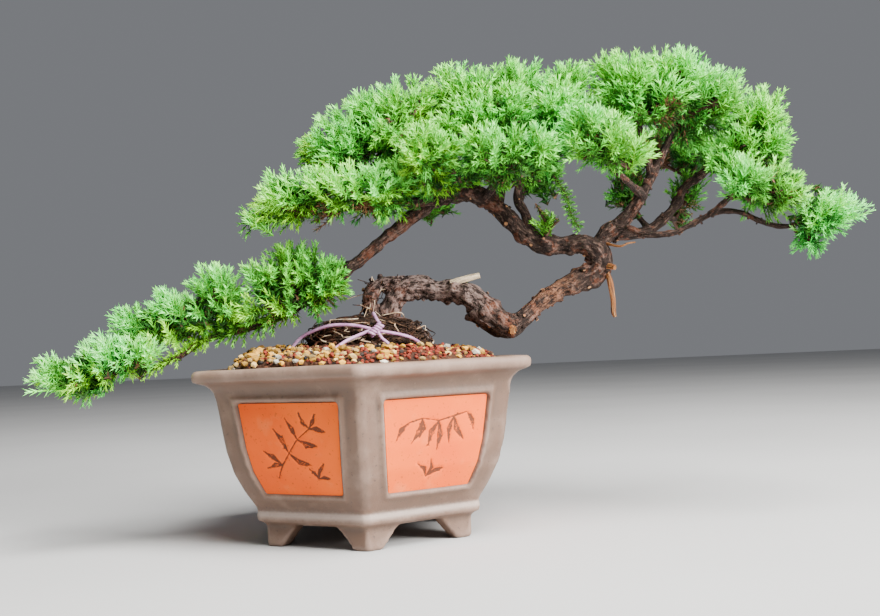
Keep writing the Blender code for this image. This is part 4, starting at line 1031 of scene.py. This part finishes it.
def place_spray(bm, template, tip, along, flat, size, hue, age_and_painted_light):
    """Adds a copy of a spray: its tip's place, the way it points, and the way its flat side faces."""
    side = flat.cross(along).normalized()
    turn = Matrix((side, along.cross(side), along)).transposed().to_4x4()
    join_copy(bm, *template, Matrix.Translation(tip) @ turn @ Matrix.Scale(size, 4), hue, age_and_painted_light)


needles, shader, place = start_material("juniper_needles", 0.6, specular=0.15)
palette = place.node("ShaderNodeUVMap", {"uv_map": "OFBake"}, {})
sides = palette.node("ShaderNodeSeparateXYZ", {}, {"Vector": palette})
row = Value(sides.tree, sides.socket.node.outputs["Y"])
bluish = row.ramp(
    (0.15, (0.005, 0.03, 0.006)), (0.4, (0.02, 0.16, 0.022)), (0.6, (0.065, 0.5, 0.07)),
    (0.78, (0.12, 0.78, 0.14)), (0.97, (0.27, 0.95, 0.29)),
)
yellowish = row.ramp(
    (0.15, (0.015, 0.035, 0.002)), (0.4, (0.06, 0.19, 0.006)), (0.6, (0.2, 0.52, 0.012)),
    (0.78, (0.32, 0.76, 0.03)), (0.97, (0.48, 0.92, 0.1)),
)
green = sides.between(0.1, 0.9).tint(bluish, yellowish)
brown = sides.between(0.3, 0.7).tint((0.06, 0.03, 0.017), (0.2, 0.1, 0.045))
feed(shader, Base_Color=row.between(0.115, 0.12).tint(brown, green))

draws = random.Random(8)
sprays = [spray_template(draws, NEEDLE_WIDTH, 3 + number % 2, 0.5) for number in range(12)]
# Sprays with wider, darker needles for inside the pads: their darkness is partly older needles, partly painted shade.
old_and_shaded_sprays = [spray_template(draws, NEEDLE_WIDTH * 1.4, 2, 0.33) for number in range(4)]
wood_search = BVHTree.FromPolygons([vert.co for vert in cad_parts["juniper_wood"].data.vertices],
                                   [face.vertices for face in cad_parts["juniper_wood"].data.polygons])
# The rounded lumps that make up each pad: the centre and the half sizes of each
PADS_MM = {
    "cascade_inner": [
        (-26, -21, 163, 23, 25, 18), (-56, -23, 155, 22, 26, 18), (-57, -34, 142, 18, 14, 13),
        (-31, -34, 149, 18, 14, 14), (-43, -22, 176, 15, 14, 11),
        (-66, -38, 166, 14, 13, 11), (-73, -38, 132, 14, 12, 9), (-47, -38, 136, 14, 12, 9),
    ],
    "cascade_mid": [
        (-84, -28, 148, 19, 24, 17), (-118, -32, 140, 23, 25, 17), (-82, -42, 136, 15, 12, 9),
        (-112, -40, 130, 17, 14, 11), (-139, -36, 136, 17, 16, 17),
        (-88, -40, 160, 15, 13, 12),
    ],
    "cascade_tip": [
        (-149, -36, 120, 22, 25, 17), (-172, -41, 107, 19, 21, 13), (-129, -46, 121, 18, 14, 12),
        (-152, -46, 108, 16, 14, 10), (-186, -46, 112, 13, 14, 10), (-173, -42, 89, 9, 7, 5),
    ],
    "left_low": [
        (13, -41, 211, 19, 26, 18), (-15, -44, 212, 21, 28, 19), (-44, -40, 208, 21, 26, 16),
        (-59, -43, 202, 13, 15, 9), (27, -28, 220, 21, 20, 16),
    ],
    "left_upper": [
        (32, 2, 269, 23, 33, 22), (4, 5, 262, 22, 32, 22), (-23, 9, 248, 21, 29, 17), (-15, -15, 232, 22, 20, 16),
        (15, -22, 244, 20, 20, 18), (24, -32, 249, 15, 13, 12),
    ],
    "left_front": [(42, -54, 232, 21, 26, 20), (42, -22, 216, 19, 18, 11), (64, -10, 227, 17, 15, 10)],
    "crown_left": [
        (69, 10, 278, 26, 34, 25), (103, 10, 278, 25, 34, 25), (90, -35, 253, 24, 20, 21), (60, -30, 246, 20, 18, 19),
    ],
    "crown_front": [(78, -55, 232, 21, 26, 20), (106, -59, 230, 19, 24, 18), (97, -22, 225, 16, 18, 10)],
    "crown_mid": [(137, 5, 275, 24, 34, 23), (124, -30, 257, 20, 20, 18)],
    "front_centre": [(136, -61, 239, 19, 25, 18), (161, -64, 227, 20, 23, 15), (147, -34, 247, 20, 18, 18)],
    "apex_left": [(170, -12, 277, 24, 34, 24), (188, -28, 264, 25, 20, 20)],
    "apex_right": [(204, -5, 280, 24, 35, 24), (233, -2, 268, 22, 34, 23), (215, 0, 250, 23, 20, 15)],
    "right_upper": [(261, 4, 256, 22, 32, 22), (268, -5, 234, 17, 27, 16), (242, -8, 228, 19, 20, 16)],
    "right_mid": [(239, -38, 211, 18, 24, 18), (266, -31, 206, 18, 24, 17), (262, -22, 195, 14, 14, 9)],
    "right_tip": [(293, -26, 191, 22, 25, 17), (281, -24, 170, 14, 17, 12)],
    "under_centre": [(126, 20, 228, 15, 17, 12)],
    "under_left": [(44, 25, 209, 19, 18, 11)],
    "inner_right": [(175, 31, 210, 15, 15, 10), (184, 30, 228, 15, 14, 11)],
    "back_left": [(26, 60, 243, 23, 25, 18), (55, 65, 250, 20, 25, 19)],
    "back_middle": [(95, 68, 256, 22, 25, 20), (129, 69, 258, 21, 25, 20)],
    "back_right": [(233, 60, 247, 22, 25, 19), (200, 60, 252, 20, 23, 18)],
    "trunk_tuft": [(122, -1, 198, 9, 9, 7)],
    "inner_low": [(219, 36, 194, 12, 14, 9), (222, 30, 213, 16, 14, 12)],
}


def pad_cloud(lumps, swell):
    """The outer surface of a pad: its lumps at the given share of their size, run together."""
    rows = [(pot_axis + Vector(row[:3]) * MM, Vector(row[3:]) * MM) for row in lumps]
    rows += [((a + b) / 2, (one + two) * 0.42) for (a, one), (b, two) in zip(rows, rows[1:])]
    bm = bmesh.new()
    for centre, half in rows:
        at = Matrix.Translation(centre) @ Matrix.Diagonal((*(half * swell), 1))
        bmesh.ops.create_icosphere(bm, subdivisions=3, radius=1, matrix=at)
    mesh = bpy.data.meshes.new("cloud")
    bm.to_mesh(mesh)
    bm.free()
    mesh = remeshed(mesh, 4 * MM, 3)
    normals = [vert.normal.copy() for vert in mesh.vertices]
    for vert, normal in zip(mesh.vertices, normals):
        vert.co += normal * noise.noise(vert.co * 55) * 3.5 * MM
    return mesh


pads = {}
for name, lumps in PADS_MM.items():
    cad_mesh = merged_copy(f"foliage_{name}")
    twig_base = min((vert.co.copy() for vert in cad_mesh.vertices),
                    key=lambda co: wood_search.find_nearest(co)[3])
    envelope = pad_cloud(lumps, 1.0)
    search = BVHTree.FromPolygons([vert.co for vert in envelope.vertices],
                                  [face.vertices for face in envelope.polygons])
    pads[name] = (twig_base, pad_cloud(lumps, 0.6), envelope, search)


# Places across and up, seen from the front, where the shoots have died
DEAD_SPOTS_MM = [(199, 250, 13), (193, 236, 9), (212, 233, 9), (2, 199, 8), (-25, 197, 6), (273, 180, 6)]
# Painted light on the pads that stand in full light, and painted shade on the pads that sit under others
SUNLIT_PADS = {"right_tip": 0.16, "cascade_tip": 0.16, "apex_right": 0.08, "left_low": 0.07}
SHADED_PADS = ("trunk_tuft", "under_centre", "under_left", "inner_right", "inner_low")
DROOPING_TWIG_MM = [(128, 12, 224, 0.9), (135, 6, 210, 0.7), (137, 6, 199, 0.6), (142, 6, 189, 0.4)]
SPRAY_PACE = 14 * MM


def buried(at, own):
    """Whether a place lies well inside another pad."""
    for other, (_, _, _, search) in pads.items():
        if other != own:
            nearest, normal, _, distance = search.find_nearest(at)
            if distance > 4 * MM and (at - nearest).dot(normal) < 0:
                return True
    return False


total = 0
for name, (twig_base, body, envelope, _) in pads.items():
    bm = bmesh.new()
    bm.loops.layers.uv.new("OFBake")
    bases = []
    for at, normal in spread_points(envelope, SPRAY_PACE * (1.22 if name.startswith("back") else 1)):
        under = normal.z < -0.35
        if buried(at, name) or (under and draws.random() < 0.12):
            continue
        fan = (at - twig_base).normalized()
        jitter = Vector([draws.gauss(0, 0.16) for _ in range(3)])
        along = (normal * 0.6 + fan * 0.55 + Vector((0, 0, 0.1 if under else 0.4)) + jitter).normalized()
        flat = normal + Vector((0, 0, 0.6)) + Vector([draws.gauss(0, 0.35) for _ in range(3)])
        tip = at + normal * draws.triangular(-4, 6, 0) * MM
        size = draws.uniform(1.0, 1.3) * (0.88 if under else 1)
        hue = 0.3 * noise.noise(at * 22) + draws.uniform(-0.12, 0.12)
        # Painted light and shade: sprays that face up are set lighter, and those that face down darker.
        age_and_painted_light = draws.uniform(-0.14, 0.07) + 0.1 * normal.z - (0.14 if under else 0)
        # Painted shade and painted light for whole pads.
        if name in SHADED_PADS:
            age_and_painted_light -= 0.14
            size *= 0.75
        age_and_painted_light += SUNLIT_PADS.get(name, 0)
        if name in ("right_tip", "cascade_tip"):
            hue -= 0.2
        # Painted shade on the inner part of the cascade, next to the trunk.
        if name == "cascade_inner" and at.x - pot_axis.x > -50 * MM:
            age_and_painted_light -= 0.12
        if normal.z < 0 and name[:4] in ("casc", "left") and draws.random() < 0.5:
            hue += 0.5
            age_and_painted_light += 0.06
        off = (at - pot_axis).xz / MM
        if normal.y < 0.3 and any((off - Vector(row[:2])).length < row[2] for row in DEAD_SPOTS_MM):
            age_and_painted_light = draws.uniform(-0.62, -0.38)
        place_spray(bm, draws.choice(sprays), tip, along, flat, size, hue, age_and_painted_light)
        bases.append(tip - along * 16 * MM * size)
    for at, normal in spread_points(body, 15 * MM):
        fan = (at - twig_base).normalized()
        along = (normal * 0.7 + fan * 0.5 + Vector([draws.gauss(0, 0.3) for _ in range(3)])).normalized()
        # The inner sprays are set darker still: older needles, and painted shade deep in the pad.
        place_spray(bm, draws.choice(old_and_shaded_sprays), at, along, normal, 1.2, draws.uniform(-0.2, 0.1), -0.14)
    if name == "under_centre":
        droop = smooth_route(DROOPING_TWIG_MM, 2.6 * MM)
        for number, ((start, thick), (end, thin)) in enumerate(zip(droop, droop[1:])):
            add_twig(bm, bm.loops.layers.uv["OFBake"], start, end, thick, thin, sides=5)
            lean = Vector(((-1) ** number * 0.9, draws.uniform(-0.6, 0.6), -0.4)).normalized()
            place_spray(bm, draws.choice(old_and_shaded_sprays), end + lean * 5 * MM, lean, ahead, 0.5, 0.1, -0.02)
    if name == "cascade_tip":
        for at, radius in routes["cascade"][::2]:
            across = (at - pot_axis).x / MM
            if -138 < across < -40:
                lean = Vector((-0.5, draws.uniform(-1, -0.2), draws.uniform(-0.8, 0.5))).normalized()
                hue, age_and_painted_light, size = (0.5, 0.08, 0.6) if across < -88 else (0.2, -0.06, 0.85)
                place_spray(bm, draws.choice(old_and_shaded_sprays), at + lean * 14 * size * MM, lean, ahead, size, hue, age_and_painted_light)
    furthest = max(bases, key=lambda co: (co - twig_base).length, default=twig_base)
    hubs = [twig_base.lerp(furthest, share) for share in (0.3, 0.65)] if bases else []
    for _ in range(4 if bases else 0):
        hubs.append(max(bases, key=lambda co: min((co - hub).length for hub in hubs)))
    twigs = bmesh.new()
    uv = twigs.loops.layers.uv.new("OFBake")
    for number, hub in enumerate(hubs):
        inner = min([twig_base, *hubs[:number]], key=lambda co: (co - hub).length)
        add_twig(twigs, uv, inner, hub, 1.3 * MM, 0.9 * MM, sides=6)
    for base in bases:
        inner = min([twig_base, *hubs], key=lambda co: (co - base).length)
        if (base - inner).length < 1 * MM:
            continue
        middle = (inner + base) / 2 + Vector([draws.gauss(0, 1.2) for _ in range(3)]) * MM
        add_twig(twigs, uv, inner, middle, 0.7 * MM, 0.55 * MM)
        add_twig(twigs, uv, middle, base, 0.55 * MM, 0.4 * MM)
    join_in(bm, twigs)
    mesh = bpy.data.meshes.new(f"needled_pad_{name}")
    bm.to_mesh(mesh)
    bm.free()
    mesh.materials.append(needles)
    pad = link_object(f"needled_pad_{name}", mesh)
    total += len(mesh.polygons)
    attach(pad, "root")
    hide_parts(f"foliage_{name}")
print("needle faces", total)


# The studio: a plain pale floor, one broad soft light overhead, a softer one from the front right and a
# weak fill from the left, as on a bright overcast day.

bm = bmesh.new()
bmesh.ops.create_grid(bm, x_segments=1, y_segments=1, size=6)
floor_mesh = bpy.data.meshes.new("floor")
bm.to_mesh(floor_mesh)
bm.free()
floor_paint, shader, place = start_material("pale_floor", 0.85, specular=0.2)
feed(shader, Base_Color=place.noise(3, 2).between(0.3, 0.7).tint((0.46, 0.46, 0.455), (0.5, 0.5, 0.495)))
floor_mesh.materials.append(floor_paint)
floor = link_object("floor", floor_mesh)


def soft_light(name, at, size, power, colour):
    """A broad square light that faces the middle of the tree."""
    data = bpy.data.lights.new(name, "AREA")
    data.size = size
    data.energy = power
    data.color = colour
    light = bpy.data.objects.new(name, data)
    light.location = at
    light.rotation_mode = "QUATERNION"
    light.rotation_quaternion = (Vector((0, 0, 0.17)) - Vector(at)).to_track_quat("-Z", "Y")
    bpy.context.scene.collection.objects.link(light)


soft_light("overhead", (0.4, -0.75, 1.45), 1.0, 88, (1, 0.99, 0.97))
soft_light("front_right", (1.6, -1.2, 0.95), 0.8, 150, (1, 0.98, 0.96))
soft_light("front_left", (-1.3, -1.2, 0.6), 1.2, 1.5, (1, 0.92, 0.84))
world = bpy.data.worlds.new("pale_room")
world.use_nodes = True
world.node_tree.nodes["Background"].inputs["Color"].default_value = (0.9, 0.93, 1, 1)
world.node_tree.nodes["Background"].inputs["Strength"].default_value = 0.21
bpy.context.scene.world = world

bpy.context.view_layer.update()
